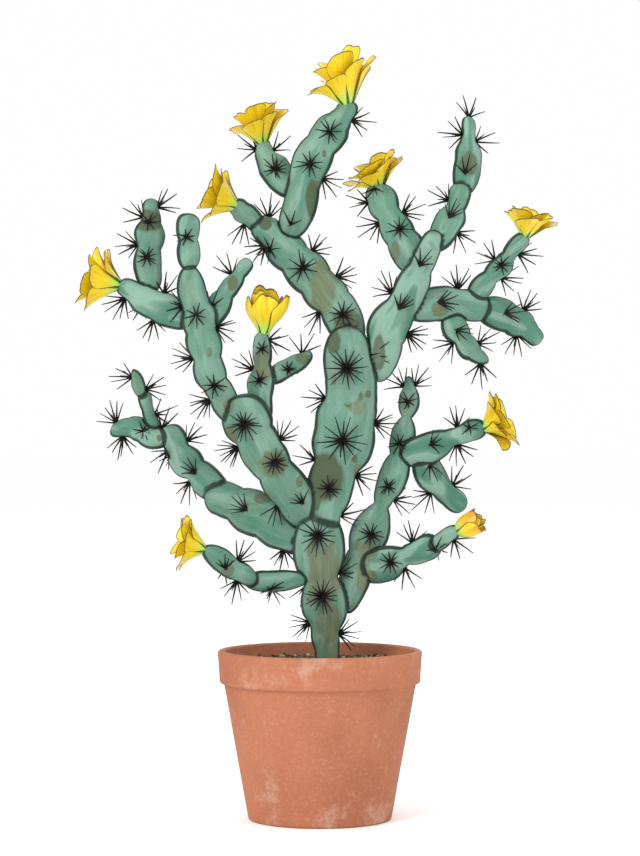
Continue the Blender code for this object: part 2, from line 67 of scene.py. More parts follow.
# Each pad: depth at base and tip, turn about its length in degrees, the share of its width that
# is left at the waists between its beads, base point, tip point, how marbled its skin is, and its
# beads (x, z, half-width, and its own pinch if the waist after it differs). Ends give the powers
# that round the base and the tip: 0.5 is a half-circle, and a larger one is more pointed.
PADS = {
    "trunk_lower": dict(
        depth=(0, 0), turn=0, pinch=0.79, base=(7, 112), tip=(1, 300), marble=0.25,
        beads=[(7, 134, 10, 1.0), (7, 160, 12, 1.0), (6, 180, 16, 1.0), (4, 207, 23), (-1, 262, 26)],
    ),
    "trunk_upper": dict(
        depth=(0, -3), turn=0, pinch=0.93, base=(3, 276), tip=(25, 482), marble=0.2,
        beads=[(9, 321, 23), (22, 366, 31), (26, 392, 31), (30, 423, 26), (28, 446, 25)],
    ),
    "left_limb_pad_1": dict(
        depth=(4, -28), turn=-8, pinch=0.82, base=(-6, 287), tip=(-75, 415), marble=0.3,
        beads=[(-29, 319, 22), (-57, 362, 23), (-70, 387, 25)],
    ),
    "left_limb_pad_2": dict(
        depth=(-20, -46), turn=8, pinch=0.86, base=(-80, 388), tip=(-126, 540), marble=0.2,
        beads=[(-96, 413, 15), (-107, 436, 16), (-112, 462, 18), (-116, 487, 18), (-123, 510, 15)],
        ends=(0.5, 0.7),
    ),
    "left_limb_tip": dict(
        depth=(-44, -50), turn=20, pinch=0.79, base=(-126, 532), tip=(-126, 588), marble=0.3,
        beads=[(-126, 550, 12), (-127, 575, 12)], ends=(0.7, 0.5),
    ),
    "left_limb_twig": dict(
        depth=(-34, -14), turn=-15, pinch=0.80, base=(-108, 482), tip=(-67, 545), marble=0.5,
        beads=[(-99, 499, 13), (-84, 524, 10), (-74, 538, 8)],
    ),
    "left_side_pad_1": dict(
        depth=(-30, -38), turn=6, pinch=0.92, base=(-117, 490), tip=(-195, 521), marble=0.9,
        beads=[(-138, 493, 16), (-153, 498, 18), (-171, 506, 15), (-182, 513, 12)],
    ),
    "left_side_pad_2": dict(
        depth=(-30, -18), turn=14, pinch=0.85, base=(-163, 512), tip=(-164, 605), marble=0.3,
        beads=[(-167, 541, 14), (-166, 569, 16), (-164, 593, 10)],
    ),
    "left_inner_pad_1": dict(
        depth=(-16, 0), turn=-12, pinch=0.75, base=(-54, 387), tip=(-55, 476), marble=0.4,
        beads=[(-57, 405, 11, 1.0), (-58, 428, 14), (-56, 461, 10)],
    ),
    "left_inner_pad_2": dict(
        depth=(-4, 10), turn=-16, pinch=0.95, base=(-51, 428), tip=(-9, 457), marble=0.3,
        beads=[(-38, 437, 10), (-24, 445, 10)],
    ),
    "low_left_pad_1": dict(
        depth=(10, 40), turn=8, pinch=0.85, base=(-6, 267), tip=(-114, 316), marble=0.5,
        beads=[(-39, 285, 24), (-68, 299, 23), (-98, 313, 18)],
    ),
    "low_left_pad_2": dict(
        depth=(38, 52), turn=-10, pinch=0.80, base=(-93, 313), tip=(-153, 384), marble=0.5,
        beads=[(-115, 331, 17), (-133, 349, 17), (-145, 369, 15)],
    ),
    "low_left_pad_3": dict(
        depth=(50, 58), turn=12, pinch=0.84, base=(-148, 374), tip=(-210, 383), marble=0.8,
        beads=[(-168, 374, 13), (-183, 381, 13), (-199, 381, 11)],
    ),
    "low_left_pad_4": dict(
        depth=(54, 48), turn=18, pinch=0.90, base=(-163, 377), tip=(-175, 420), marble=0.5,
        beads=[(-169, 395, 8), (-174, 409, 8)],
    ),
    "low_left_pad_5": dict(
        depth=(48, 44), turn=-12, pinch=1.0, base=(-174, 411), tip=(-187, 441), marble=0.2,
        beads=[(-179, 422, 8), (-182, 428, 8)], ends=(0.7, 0.8),
    ),
    "base_left_pad_1": dict(
        depth=(0, -22), turn=-8, pinch=1.03, base=(-8, 235), tip=(-75, 233), marble=0.3,
        beads=[(-39, 233, 11), (-55, 233, 11)], ends=(1.0, 0.9),
    ),
    "base_left_pad_2": dict(
        depth=(-20, -44), turn=10, pinch=1.03, base=(-62, 232), tip=(-113, 267), marble=0.4,
        beads=[(-81, 244, 12), (-93, 253, 12)], ends=(0.6, 0.7),
    ),
    "crown_left_pad_1": dict(
        depth=(8, 28), turn=6, pinch=0.83, base=(34, 462), tip=(-64, 588), marble=0.3,
        beads=[(21, 493, 20), (6, 514, 22), (-14, 538, 22), (-35, 559, 20), (-51, 576, 16)],
    ),
    "crown_left_pad_2": dict(
        depth=(22, -8), turn=-8, pinch=0.87, base=(-32, 571), tip=(29, 702), marble=0.4,
        beads=[(-21, 597, 17), (-8, 643, 20), (11, 672, 18), (25, 689, 12)],
    ),
    "crown_left_pad_3": dict(
        depth=(18, 38), turn=10, pinch=0.98, base=(-23, 612), tip=(-58, 667), marble=0.3,
        beads=[(-39, 629, 15), (-46, 640, 16), (-54, 653, 12)],
    ),
    "crown_left_pad_4": dict(
        depth=(28, 18), turn=-14, pinch=1.0, base=(-58, 580), tip=(-86, 605), marble=0.3,
        beads=[(-74, 593, 12), (-80, 599, 10)],
    ),
    "crown_right_pad_1": dict(
        depth=(8, -12), turn=6, pinch=0.85, base=(52, 428), tip=(113, 575), marble=0.8,
        beads=[(61, 455, 18), (68, 481, 22), (90, 521, 17), (105, 553, 12)],
    ),
    "crown_right_pad_2": dict(
        depth=(0, 22), turn=-10, pinch=0.86, base=(102, 531), tip=(58, 622), marble=0.3,
        beads=[(86, 557, 18), (74, 580, 17), (61, 605, 17)],
    ),
    "crown_right_pad_3": dict(
        depth=(-8, 8), turn=-14, pinch=0.80, base=(110, 554), tip=(141, 621), marble=0.4,
        beads=[(127, 584, 16), (136, 609, 12)], ends=(0.7, 0.5),
    ),
    "crown_right_pad_4": dict(
        depth=(10, 20), turn=12, pinch=0.97, base=(140, 611), tip=(146, 692), marble=0.8,
        beads=[(144, 635, 14), (146, 652, 14), (146, 675, 8)],
    ),
    "right_arm_pad_1": dict(
        depth=(4, 28), turn=4, pinch=1.0, base=(84, 497), tip=(167, 497), marble=0.4,
        beads=[(108, 503, 17), (124, 505, 18), (139, 505, 17)],
    ),
    "right_arm_pad_2": dict(
        depth=(24, 12), turn=16, pinch=0.74, base=(147, 504), tip=(203, 573), marble=0.5,
        beads=[(159, 521, 12), (177, 540, 13), (194, 561, 10)], ends=(0.7, 0.5),
    ),
    "right_arm_pad_3": dict(
        depth=(28, 44), turn=-8, pinch=0.86, base=(156, 501), tip=(219, 467), marble=0.8,
        beads=[(179, 495, 17), (198, 486, 17), (212, 474, 10)],
    ),
    "right_arm_pad_4": dict(
        depth=(20, 0), turn=-14, pinch=0.82, base=(130, 497), tip=(160, 442), marble=0.4,
        beads=[(134, 477, 14), (147, 460, 13), (157, 449, 8)],
    ),
    "right_stem_pad_1": dict(
        depth=(8, 34), turn=-8, pinch=0.42, base=(24, 200), tip=(88, 434), marble=0.3,
        beads=[(36, 241, 16, 0.82), (49, 278, 19, 0.48), (72, 333, 15, 0.66), (82, 374, 13),
               (88, 409, 11)],
        ends=(0.5, 0.8),
    ),
    "right_stem_pad_2": dict(
        depth=(26, -8), turn=10, pinch=0.82, base=(80, 352), tip=(162, 382), marble=1.0,
        beads=[(108, 363, 16), (146, 379, 11)],
    ),
    "right_stem_pad_3": dict(
        depth=(20, 44), turn=-10, pinch=0.95, base=(101, 358), tip=(143, 302), marble=1.0,
        beads=[(110, 334, 16), (131, 313, 12)],
    ),
    "low_right_pad_1": dict(
        depth=(14, -12), turn=8, pinch=0.67, base=(38, 241), tip=(116, 271), marble=0.8,
        beads=[(66, 249, 18), (101, 264, 14)],
    ),
    "low_right_pad_2": dict(
        depth=(-12, -24), turn=-12, pinch=1.0, base=(107, 265), tip=(136, 284), marble=0.8,
        beads=[(120, 273, 9), (127, 278, 9)], ends=(0.6, 0.6),
    ),
}

# Spine clusters of each pad. Stars (x, z, reach, spines) spread all round on its face; fans
# (x, z, direction in degrees, spines) spread to one side on its face; tufts, laid out like
# fans, stand on its margin and point away from the pad. Direction 0 is +X and 90 is up.
CLUSTERS = {
    "trunk_lower": dict(
        stars=[(-2, 277, 20, 16), (2, 218, 19, 16)],
        tufts=[(-10, 191, 205, 6), (-21, 234, 262, 3), (23, 181, 0, 6), (20, 233, 35, 6)],
    ),
    "trunk_upper": dict(
        stars=[(26, 440, 22, 16), (22, 370, 24, 15), (9, 323, 13, 12)],
        tufts=[(6, 413, 180, 5), (-6, 349, 150, 4), (56, 385, 0, 7), (36, 335, -20, 5), (18, 293, 10, 5),
               (49, 450, 35, 7)],
    ),
    "left_limb_pad_1": dict(
        stars=[(-73, 386, 17, 16), (-44, 349, 14, 13)], fans=[(-17, 309, 130, 5)],
        tufts=[(-87, 360, 205, 8), (-36, 371, 45, 6), (-46, 309, 262, 5)],
    ),
    "left_limb_pad_2": dict(
        stars=[(-119, 490, 12, 9), (-102, 423, 14, 9)],
        tufts=[(-133, 497, 180, 4), (-123, 446, 185, 6), (-112, 408, 215, 7), (-99, 478, 0, 6)],
    ),
    "left_limb_tip": dict(stars=[(-128, 565, 10, 7)]),
    "left_limb_twig": dict(fans=[(-105, 499, 55, 3)], tufts=[(-90, 534, 115, 4)]),
    "left_side_pad_1": dict(
        fans=[(-178, 492, 50, 4)], tufts=[(-189, 505, 225, 6), (-164, 488, 265, 5), (-151, 517, 70, 4)],
    ),
    "left_side_pad_2": dict(
        stars=[(-166, 581, 10, 8), (-167, 547, 11, 11)],
        tufts=[(-174, 584, 145, 4), (-178, 557, 180, 5), (-154, 594, 30, 5)],
    ),
    "left_inner_pad_1": dict(
        stars=[(-56, 459, 8, 7), (-59, 428, 10, 8)], tufts=[(-68, 440, 150, 5), (-46, 471, -5, 4)],
    ),
    "left_inner_pad_2": dict(stars=[(-31, 439, 8, 8)], tufts=[(-22, 454, 75, 4)]),
    "low_left_pad_1": dict(fans=[(-72, 301, 150, 6)], tufts=[(-38, 260, 265, 5)]),
    "low_left_pad_2": dict(
        fans=[(-150, 352, 50, 4), (-123, 337, 130, 5)],
        tufts=[(-128, 367, 45, 5), (-158, 357, 230, 4), (-133, 331, 240, 5)],
    ),
    "low_left_pad_3": dict(
        stars=[(-176, 379, 10, 8)], tufts=[(-206, 388, 120, 6), (-196, 370, 262, 6), (-157, 385, 70, 5)],
    ),
    "low_left_pad_4": dict(tufts=[(-162, 397, 15, 3)]),
    "low_left_pad_5": dict(tufts=[(-190, 431, 172, 5), (-172, 421, 10, 5)]),
    "base_left_pad_1": dict(fans=[(-48, 225, 90, 5)]),
    "base_left_pad_2": dict(fans=[(-91, 247, 95, 6)], tufts=[(-76, 257, 50, 5), (-84, 232, 258, 5)]),
    "crown_left_pad_1": dict(
        stars=[(-17, 539, 18, 10), (22, 493, 16, 11)], fans=[(-55, 557, 45, 4)],
        tufts=[(-56, 557, 205, 5), (-50, 590, 85, 5), (-9, 557, 45, 5), (14, 535, 15, 6),
               (-2, 496, 250, 5)],
    ),
    "crown_left_pad_2": dict(
        stars=[(-10, 640, 15, 10), (10, 671, 14, 10)], fans=[(-29, 582, 60, 3)],
        tufts=[(33, 678, -5, 5), (2, 627, -25, 5)],
    ),
    "crown_left_pad_3": dict(stars=[(-44, 637, 14, 12)], tufts=[(-66, 657, 165, 4), (-40, 658, 55, 4)]),
    "crown_left_pad_4": dict(tufts=[(-78, 583, 262, 5)]),
    "crown_right_pad_1": dict(
        fans=[(77, 498, 60, 6), (97, 540, 60, 5)], tufts=[(63, 515, 130, 6), (90, 473, -25, 7)],
    ),
    "crown_right_pad_2": dict(
        stars=[(78, 577, 14, 10)], fans=[(54, 618, 275, 4)],
        tufts=[(42, 602, 175, 4), (55, 586, 215, 5), (84, 597, 25, 5)],
    ),
    "crown_right_pad_3": dict(
        fans=[(126, 587, 60, 6)], tufts=[(123, 604, 145, 4), (134, 574, -45, 4)],
    ),
    "crown_right_pad_4": dict(
        fans=[(142, 631, 90, 4)], tufts=[(147, 691, 80, 4), (138, 671, 170, 5), (155, 666, 10, 4)],
    ),
    "right_arm_pad_1": dict(fans=[(116, 505, 10, 6)], tufts=[(137, 523, 90, 5)]),
    "right_arm_pad_2": dict(
        stars=[(178, 542, 11, 10)], tufts=[(170, 551, 140, 4), (195, 547, -5, 5), (175, 526, -20, 5)],
    ),
    "right_arm_pad_3": dict(fans=[(182, 495, 10, 5)], tufts=[(203, 505, 50, 5), (196, 471, 262, 5)]),
    "right_arm_pad_4": dict(
        fans=[(133, 478, -30, 5)], tufts=[(131, 461, 215, 4), (158, 467, 30, 5), (158, 443, 270, 5)],
    ),
    "right_stem_pad_1": dict(
        stars=[(87, 408, 10, 8), (78, 366, 11, 10), (67, 324, 10, 10), (50, 277, 14, 12)],
        tufts=[(79, 421, 130, 5), (97, 422, 50, 5), (72, 307, -12, 5)],
    ),
    "right_stem_pad_2": dict(
        stars=[(146, 382, 10, 6)], fans=[(108, 366, 20, 5)], tufts=[(131, 385, 90, 5), (134, 365, -65, 5)],
    ),
    "right_stem_pad_3": dict(fans=[(108, 346, 275, 4)], tufts=[(134, 326, 45, 4), (109, 315, 225, 5)]),
    "low_right_pad_1": dict(
        stars=[(69, 251, 13, 11)], fans=[(112, 263, 100, 4)], tufts=[(87, 270, 95, 5), (87, 247, 280, 4)],
    ),
    "low_right_pad_2": dict(tufts=[(130, 274, -50, 4)]),
}

# Corky patches: middle (x, z), half-size across and up, and how dark; pale ones are streaky.
PATCHES = [
    (4, 335, 17, 21, 1.0), (13, 466, 6, 10, 0.9), (5, 238, 15, 34, 0.25), (9, 194, 12, 20, 0.35),
    (3, 524, 13, 27, 0.3), (26, 488, 13, 9, 0.55), (-7, 607, 6, 17, 0.95), (-167, 583, 15, 9, 0.75),
    (-87, 371, 7, 13, 0.5), (-88, 403, 5, 7, 0.35), (-44, 348, 12, 13, 0.3), (-58, 312, 8, 5, 0.45),
    (-54, 445, 9, 15, 0.35), (-54, 584, 6, 6, 0.9), (58, 455, 5, 18, 0.6), (-84, 522, 5, 7, 0.5),
    (-18, 450, 7, 5, 0.5), (48, 262, 9, 10, 0.3), (118, 499, 8, 7, 0.35), (147, 642, 6, 11, 0.5),
    (-88, 245, 5, 5, 0.2), (44, 236, 6, 14, 0.2), (36, 402, 8, 6, 0.2), (36, 339, 4, 9, 0.2),
    (-33, 380, 4, 8, 0.2), (98, 592, 6, 5, 0.4), (76, 410, 4, 8, 0.3), (-8, 263, 5, 7, 0.1),
    (26, 404, 2, 3, 0.7), (40, 412, 2, 4, 0.7), (47, 415, 2, 4, 0.6), (-3, 307, 3, 5, 0.7),
    (14, 430, 2, 5, 0.2), (34, 352, 2, 4, 0.6), (-34, 372, 2, 4, 0.6), (-20, 330, 3, 5, 0.5),
    (38, 268, 3, 6, 0.3), (52, 236, 3, 6, 0.4), (-62, 437, 2, 3, 0.4), (26, 553, 2, 4, 0.4),
    (-3, 622, 3, 3, 0.5), (4, 650, 2, 4, 0.5), (139, 640, 3, 4, 0.5), (-160, 372, 3, 4, 0.5),
    (96, 388, 3, 4, 0.4), (73, 555, 4, 9, 0.3), (-107, 455, 3, 5, 0.3), (-46, 395, 4, 6, 0.3),
]

# Each flower: base and mouth in space, rim radius, petals in its outer whorl, how strongly its
# petals are tinged orange, and the way (x, z) that its petals droop, as far as that is long.
FLOWERS = {
    "flower_crown_top": dict(
        base=(27, -8, 697), mouth=(19, -13, 738), radius=37, petals=7, tinge=0.6, droop=(-0.32, 0.0),
    ),
    "flower_crown_left": dict(
        base=(-57, 37, 663), mouth=(-63, 33, 695), radius=30, petals=7, tinge=0.8, droop=(-0.22, 0.0),
    ),
    "flower_crown_tip": dict(
        base=(-81, 19, 600), mouth=(-107, 14, 614), radius=28, petals=6, tinge=0.7, droop=(0.0, -0.2),
    ),
    "flower_left_side": dict(
        base=(-193, -38, 520), mouth=(-223, -43, 528), radius=32, petals=7, tinge=0.9, droop=(0.0, 0.15),
    ),
    "flower_inner": dict(
        base=(-55, 0, 473), mouth=(-51, -4, 507), radius=25, petals=5, tinge=0.5, habit="tulip",
    ),
    "flower_crown_right": dict(
        base=(58, 22, 619), mouth=(50, 17, 643), radius=33, petals=7, tinge=0.5, droop=(-0.4, 0.0),
    ),
    "flower_right_arm": dict(base=(202, 12, 570), mouth=(207, 8, 591), radius=28, petals=7, tinge=0.5),
    "flower_right_stem": dict(
        base=(160, -8, 381), mouth=(180, -12, 391), radius=31, petals=7, tinge=1.0, droop=(0.0, -0.3),
    ),
    "bud_low_right": dict(
        base=(134, -23, 282), mouth=(152, -27, 292), radius=12, petals=5, tinge=2.6, habit="bud",
    ),
    "flower_base_left": dict(
        base=(-111, -43, 265), mouth=(-136, -47, 275), radius=26, petals=6, tinge=0.4, droop=(0.0, -0.25),
    ),
}

# How a petal rises from its base: control points (share of rim radius, share of depth).
HABITS = {
    "open": dict(
        outer=((0.10, -0.05), (0.38, 0.28), (0.66, 0.72), (1.02, 0.95)),
        inner=((0.08, 0.00), (0.30, 0.40), (0.52, 0.90), (0.80, 1.18)), stamens=1.0,
    ),
    "tulip": dict(
        outer=((0.18, -0.05), (0.34, 0.42), (0.96, 0.48), (0.88, 1.08)),
        inner=((0.12, 0.00), (0.30, 0.40), (0.76, 0.60), (0.58, 1.22)), stamens=0.35,
    ),
    "bud": dict(
        outer=((0.28, -0.10), (1.20, 0.20), (0.90, 0.85), (1.02, 1.15)),
        inner=((0.24, 0.00), (0.90, 0.25), (0.70, 0.90), (0.50, 1.22)), stamens=0.0,
    ),
}


# ------------------------------------------------------------------ node trees


class Wire:
    """An output of a node. Arithmetic on it adds Math nodes to the same tree."""

    def __init__(self, nodes, socket):
        self.nodes = nodes
        self.socket = socket

    def math(self, operation, first, second=0.0, clamp=False):
        settings = {"operation": operation, "use_clamp": clamp}
        return self.nodes.node("ShaderNodeMath", settings, {0: first, 1: second})

    def __add__(self, other):
        return self.math("ADD", self, other)

    def __sub__(self, other):
        return self.math("SUBTRACT", self, other)

    def __rsub__(self, other):
        return self.math("SUBTRACT", other, self)

    def __mul__(self, other):
        return self.math("MULTIPLY", self, other)

    __radd__ = __add__
    __rmul__ = __mul__

    def clamped(self):
        return self.math("ADD", self, 0.0, clamp=True)

    def at_least(self, other):
        return self.math("MAXIMUM", self, other)

    def wave(self):
        """Its sine, moved into 0 to 1."""
        return self.math("SINE", self) * 0.5 + 0.5

    def above(self, low, high):
        """A smooth step from 0 at low to 1 at high."""
        settings = {"interpolation_type": "SMOOTHSTEP"}
        return self.nodes.node("ShaderNodeMapRange", settings, {"Value": self, 1: low, 2: high})


class Nodes:
    """Adds nodes to a tree."""

    def __init__(self, tree):
        self.tree = tree

    def node(self, kind, settings=None, inputs=None, output=0):
        made = self.tree.nodes.new(kind)
        for name, value in (settings or {}).items():
            if name == "stops":
                set_stops(made.color_ramp, value)
            else:
                setattr(made, name, value)
        for key, value in (inputs or {}).items():
            if isinstance(value, Wire):
                self.tree.links.new(value.socket, made.inputs[key])
            else:
                made.inputs[key].default_value = value
        return Wire(self, made.outputs[output])

    def parts(self, vector):
        """The X, Y and Z of a vector."""
        split = self.node("ShaderNodeSeparateXYZ", inputs={0: vector})
        return [Wire(self, socket) for socket in split.socket.node.outputs]


def set_stops(ramp, stops):
    while len(ramp.elements) < len(stops):
        ramp.elements.new(1.0)
    for element, (position, colour) in zip(ramp.elements, stops):
        element.position = position
        element.color = (*colour, 1.0)


class Finish(Nodes):
    """A material on one Principled shader, with short names for the nodes it uses most."""

    def __init__(self, name):
        self.material = bpy.data.materials.new(name)
        self.material.use_nodes = True
        super().__init__(self.material.node_tree)
        self.shader = self.tree.nodes["Principled BSDF"]

    def set(self, **sockets):
        """Sets or links the shader's sockets; base_color stands for Base Color."""
        for name, value in sockets.items():
            socket = self.shader.inputs[name.replace("_", " ").title().replace("Ior", "IOR")]
            if isinstance(value, Wire):
                self.tree.links.new(value.socket, socket)
            else:
                socket.default_value = value

    def attribute(self, name, output="Fac"):
        return self.node("ShaderNodeAttribute", {"attribute_name": name}, output=output)

    def object_place(self):
        return self.node("ShaderNodeTexCoord", output="Object")

    def stretched(self, vector, scale):
        return self.node("ShaderNodeMapping", inputs={"Vector": vector, "Scale": scale})

    def noise(self, vector, scale, detail=3.0, roughness=0.5, distortion=0.0):
        inputs = {
            "Vector": vector, "Scale": scale, "Detail": detail, "Roughness": roughness,
            "Distortion": distortion,
        }
        return self.node("ShaderNodeTexNoise", inputs=inputs)

    def cells(self, vector, scale, output="Distance"):
        return self.node("ShaderNodeTexVoronoi", inputs={"Vector": vector, "Scale": scale}, output=output)

    def mix(self, factor, first, second, blend="MIX"):
        settings = {"data_type": "RGBA", "blend_type": blend}
        return self.node("ShaderNodeMix", settings, {0: factor, 6: rgba(first), 7: rgba(second)}, output=2)

    def layered(self, base, *layers):
        """Colours laid one after another over a base, each as (how much, colour)."""
        for amount, colour in layers:
            base = self.mix(amount, base, colour)
        return base

    def ramp(self, factor, stops):
        return self.node("ShaderNodeValToRGB", {"stops": stops}, {"Fac": factor})

    def bump(self, height, distance, strength=1.0, under=None):
        inputs = {"Height": height, "Distance": distance, "Strength": strength}
        if under is not None:
            inputs["Normal"] = under
        return self.node("ShaderNodeBump", inputs=inputs)


def rgba(colour):
    return colour if isinstance(colour, Wire) else (*tuple(colour)[:3], 1.0)


class Growth(Nodes):
    """A Geometry Nodes tree with named inputs, run once on an object to give a plain mesh."""

    def __init__(self, name, inputs):
        tree = bpy.data.node_groups.new(name, "GeometryNodeTree")
        super().__init__(tree)
        tree.interface.new_socket("Geometry", in_out="INPUT", socket_type="NodeSocketGeometry")
        tree.interface.new_socket("Geometry", in_out="OUTPUT", socket_type="NodeSocketGeometry")
        for label, (kind, default) in inputs.items():
            socket = tree.interface.new_socket(label, in_out="INPUT", socket_type="NodeSocket" + kind)
            if default is not None:
                socket.default_value = default
        self.start = tree.nodes.new("NodeGroupInput")
        self.end = tree.nodes.new("NodeGroupOutput")

    def given(self, label):
        return Wire(self, self.start.outputs[label])

    def named(self, name, kind):
        settings = {"data_type": kind}
        return self.node("GeometryNodeInputNamedAttribute", settings, {"Name": name})

    def headed(self):
        """The rotation that lays an instance's Z along its point's heading."""
        inputs = {"Vector": self.named("heading", "FLOAT_VECTOR")}
        return self.node("FunctionNodeAlignRotationToVector", {"axis": "Z"}, inputs)

    def girthed(self, length):
        """An instance's scale: its point's girth across, and a length along."""
        girth = self.named("girth", "FLOAT")
        return self.node("ShaderNodeCombineXYZ", inputs={0: girth, 1: girth, 2: length})

    def marked(self, geometry, name, value, domain="POINT"):
        settings = {"data_type": "FLOAT", "domain": domain}
        inputs = {"Geometry": geometry, "Name": name, "Value": value}
        return self.node("GeometryNodeStoreNamedAttribute", settings, inputs)

    def copies(self, points, instance, rotation, scale):
        inputs = {"Points": points, "Instance": instance, "Rotation": rotation, "Scale": scale}
        return self.node("GeometryNodeInstanceOnPoints", inputs=inputs)

    def roughened(self, instances, scale, depth):
        """The instances as one mesh, its points shaken by noise of a scale and a depth."""
        real = self.node("GeometryNodeRealizeInstances", inputs={0: instances})
        rough = self.node("ShaderNodeTexNoise", inputs={"Scale": scale, "Detail": 1.0}, output="Color")
        inputs = {0: rough, 1: (0.5, 0.5, 0.5)}
        centred = self.node("ShaderNodeVectorMath", {"operation": "SUBTRACT"}, inputs)
        offset = self.node("ShaderNodeVectorMath", {"operation": "SCALE"}, {0: centred, "Scale": depth})
        return self.node("GeometryNodeSetPosition", inputs={"Geometry": real, "Offset": offset})

    def finish(self, geometry, material):
        """Realises the instances and gives them their material: the end of every tree."""
        real = self.node("GeometryNodeRealizeInstances", inputs={0: geometry})
        smooth = self.node("GeometryNodeSetShadeSmooth", inputs={0: real})
        painted = self.node("GeometryNodeSetMaterial", inputs={"Geometry": smooth, "Material": material})
        self.tree.links.new(painted.socket, self.end.inputs[0])

    def grow(self, carrier, name, **values):
        """The tree's result on the carrier, as a new plain object; the carrier is removed."""
        modifier = carrier.modifiers.new(self.tree.name, "NODES")
        modifier.node_group = self.tree
        for item in self.tree.interface.items_tree:
            if item.in_out == "INPUT" and item.name in values:
                modifier[item.identifier] = values[item.name]
        piece = baked(carrier, name)
        bpy.data.objects.remove(carrier)
        return piece


def baked(source, name):
    """A plain object of what the source's modifiers give."""
    graph = bpy.context.evaluated_depsgraph_get()
    graph.update()
    mesh = bpy.data.meshes.new_from_object(source.evaluated_get(graph))
    mesh.name = name
    piece = bpy.data.objects.new(name, mesh)
    bpy.context.scene.collection.objects.link(piece)
    return piece


# ------------------------------------------------------------------ meshes


def new_piece(name, points, faces=(), attributes=None, material=None):
    """An object at the origin from points in metres, with named point attributes."""
    mesh = bpy.data.meshes.new(name)
    mesh.from_pydata([tuple(point) for point in points], [], [tuple(face) for face in faces])
    for label, values in (attributes or {}).items():
        values = np.asarray(values, np.float32)
        if values.ndim == 2:
            mesh.attributes.new(label, "FLOAT_VECTOR", "POINT").data.foreach_set("vector", values.ravel())
        else:
            mesh.attributes.new(label, "FLOAT", "POINT").data.foreach_set("value", values)
    if material:
        mesh.materials.append(material)
    mesh.update()
    if len(mesh.polygons):
        mesh.shade_smooth()
    piece = bpy.data.objects.new(name, mesh)
    bpy.context.scene.collection.objects.link(piece)
    return piece


def grid_faces(rows, columns, start=0, wrap=True):
    """Quads of a grid of points laid out row by row, closed across its columns if wrap is set."""
    faces = []
    for row in range(rows - 1):
        for column in range(columns if wrap else columns - 1):
            after = (column + 1) % columns
            here = start + row * columns
            faces.append((here + column, here + after, here + columns + after, here + columns + column))
    return faces


def tube_faces(rows, columns, start=0):
    """A closed tube: its grid, and a fan to a pole at each end, the poles coming after the grid."""
    faces = grid_faces(rows, columns, start)
    low = start + rows * columns
    last = start + (rows - 1) * columns
    for column in range(columns):
        after = (column + 1) % columns
        faces.append((low, start + after, start + column))
        faces.append((low + 1, last + column, last + after))
    return faces


def settle(piece, slot, *nodes):
    """Joins a finished piece to the frame."""
    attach(piece, BODY)
    if nodes:
        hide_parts(*nodes)


# ------------------------------------------------------------------ settings


def colour_property(name, description, default):
    return bpy.props.FloatVectorProperty(
        name=name, description=description, default=default, subtype="COLOR", min=0.0, max=1.0,
    )


def length_property(name, description, default):
    return bpy.props.FloatProperty(name=name, description=description, default=default, unit="LENGTH")


class CactusSkinSettings(bpy.types.PropertyGroup):
    """Shape and colours of the pads"""

    flatness: bpy.props.FloatProperty(
        name="Flatness", description="How much a pad's thickness grows with its width", default=0.42,
    )
    least_half_thickness: length_property(
        "Least half-thickness", "Half-thickness that a pad has besides its share of the width", 0.003,
    )
    ring_step: length_property("Ring step", "Distance between two rings of a pad's mesh", 0.0016)
    wobble: length_property("Wobble", "How far the skin wanders from an even surface", 0.0009)
    swelling: length_property("Swelling", "How far the skin rises under each areole", 0.0016)
    green: colour_property("Green", "Main skin colour", (0.110, 0.240, 0.172))
    grey: colour_property("Grey-green", "Duller clouds on the skin", (0.135, 0.215, 0.160))
    teal: colour_property("Teal", "Darker streaks", (0.050, 0.178, 0.122))
    pale: colour_property("Pale", "Pale waxy streaks", (0.225, 0.370, 0.300))
    olive: colour_property("Olive", "Dark corky patches", (0.062, 0.082, 0.038))
    cork: colour_property("Cork", "Pale corky patches", (0.150, 0.165, 0.082))
    brown: colour_property("Brown", "Streaks in the cork", (0.100, 0.088, 0.045))
    # Colour of the dark band on the pads' rounded edges, partly a darker margin and partly painted shade,
    # and of the painted shade where pads meet.
    margin: colour_property("Margin", "Thin dark edge of the pads", (0.006, 0.018, 0.012))


class CactusSpineSettings(bpy.types.PropertyGroup):
    """Spines and the woolly areoles they grow from"""

    girth: length_property("Girth", "Radius of a spine at its foot", 0.00118)
    tuft_reach: length_property("Tuft reach", "Length of the spines on the margins", 0.0215)
    fan_reach: length_property("Fan reach", "Length of the spines of a one-sided cluster", 0.0180)
    colour: colour_property("Spine", "Colour of the spines", (0.010, 0.008, 0.007))
    foot: colour_property("Spine foot", "Colour of a spine where it leaves the wool", (0.022, 0.012, 0.007))
    wool: colour_property("Wool", "Colour of the areoles' wool", (0.050, 0.030, 0.018))
    seed: bpy.props.IntProperty(name="Seed", description="Changes how the spines vary", default=11)


class CactusFlowerSettings(bpy.types.PropertyGroup):
    """Petals, stamens and styles"""

    thickness: length_property("Petal thickness", "Thickness of a petal", 0.0005)
    yellow: colour_property("Yellow", "Main petal colour", (0.800, 0.610, 0.008))
    gold: colour_property("Gold", "Deeper petal streaks", (0.740, 0.460, 0.005))
    orange: colour_property("Orange", "Tinge on outer petals", (0.600, 0.240, 0.008))
    green: colour_property("Throat green", "Foot of the petals", (0.330, 0.700, 0.120))
    edge: colour_property("Edge", "Thin dark edge of the petals", (0.026, 0.015, 0.004))
    seed: bpy.props.IntProperty(name="Seed", description="Changes how the petals vary", default=5)


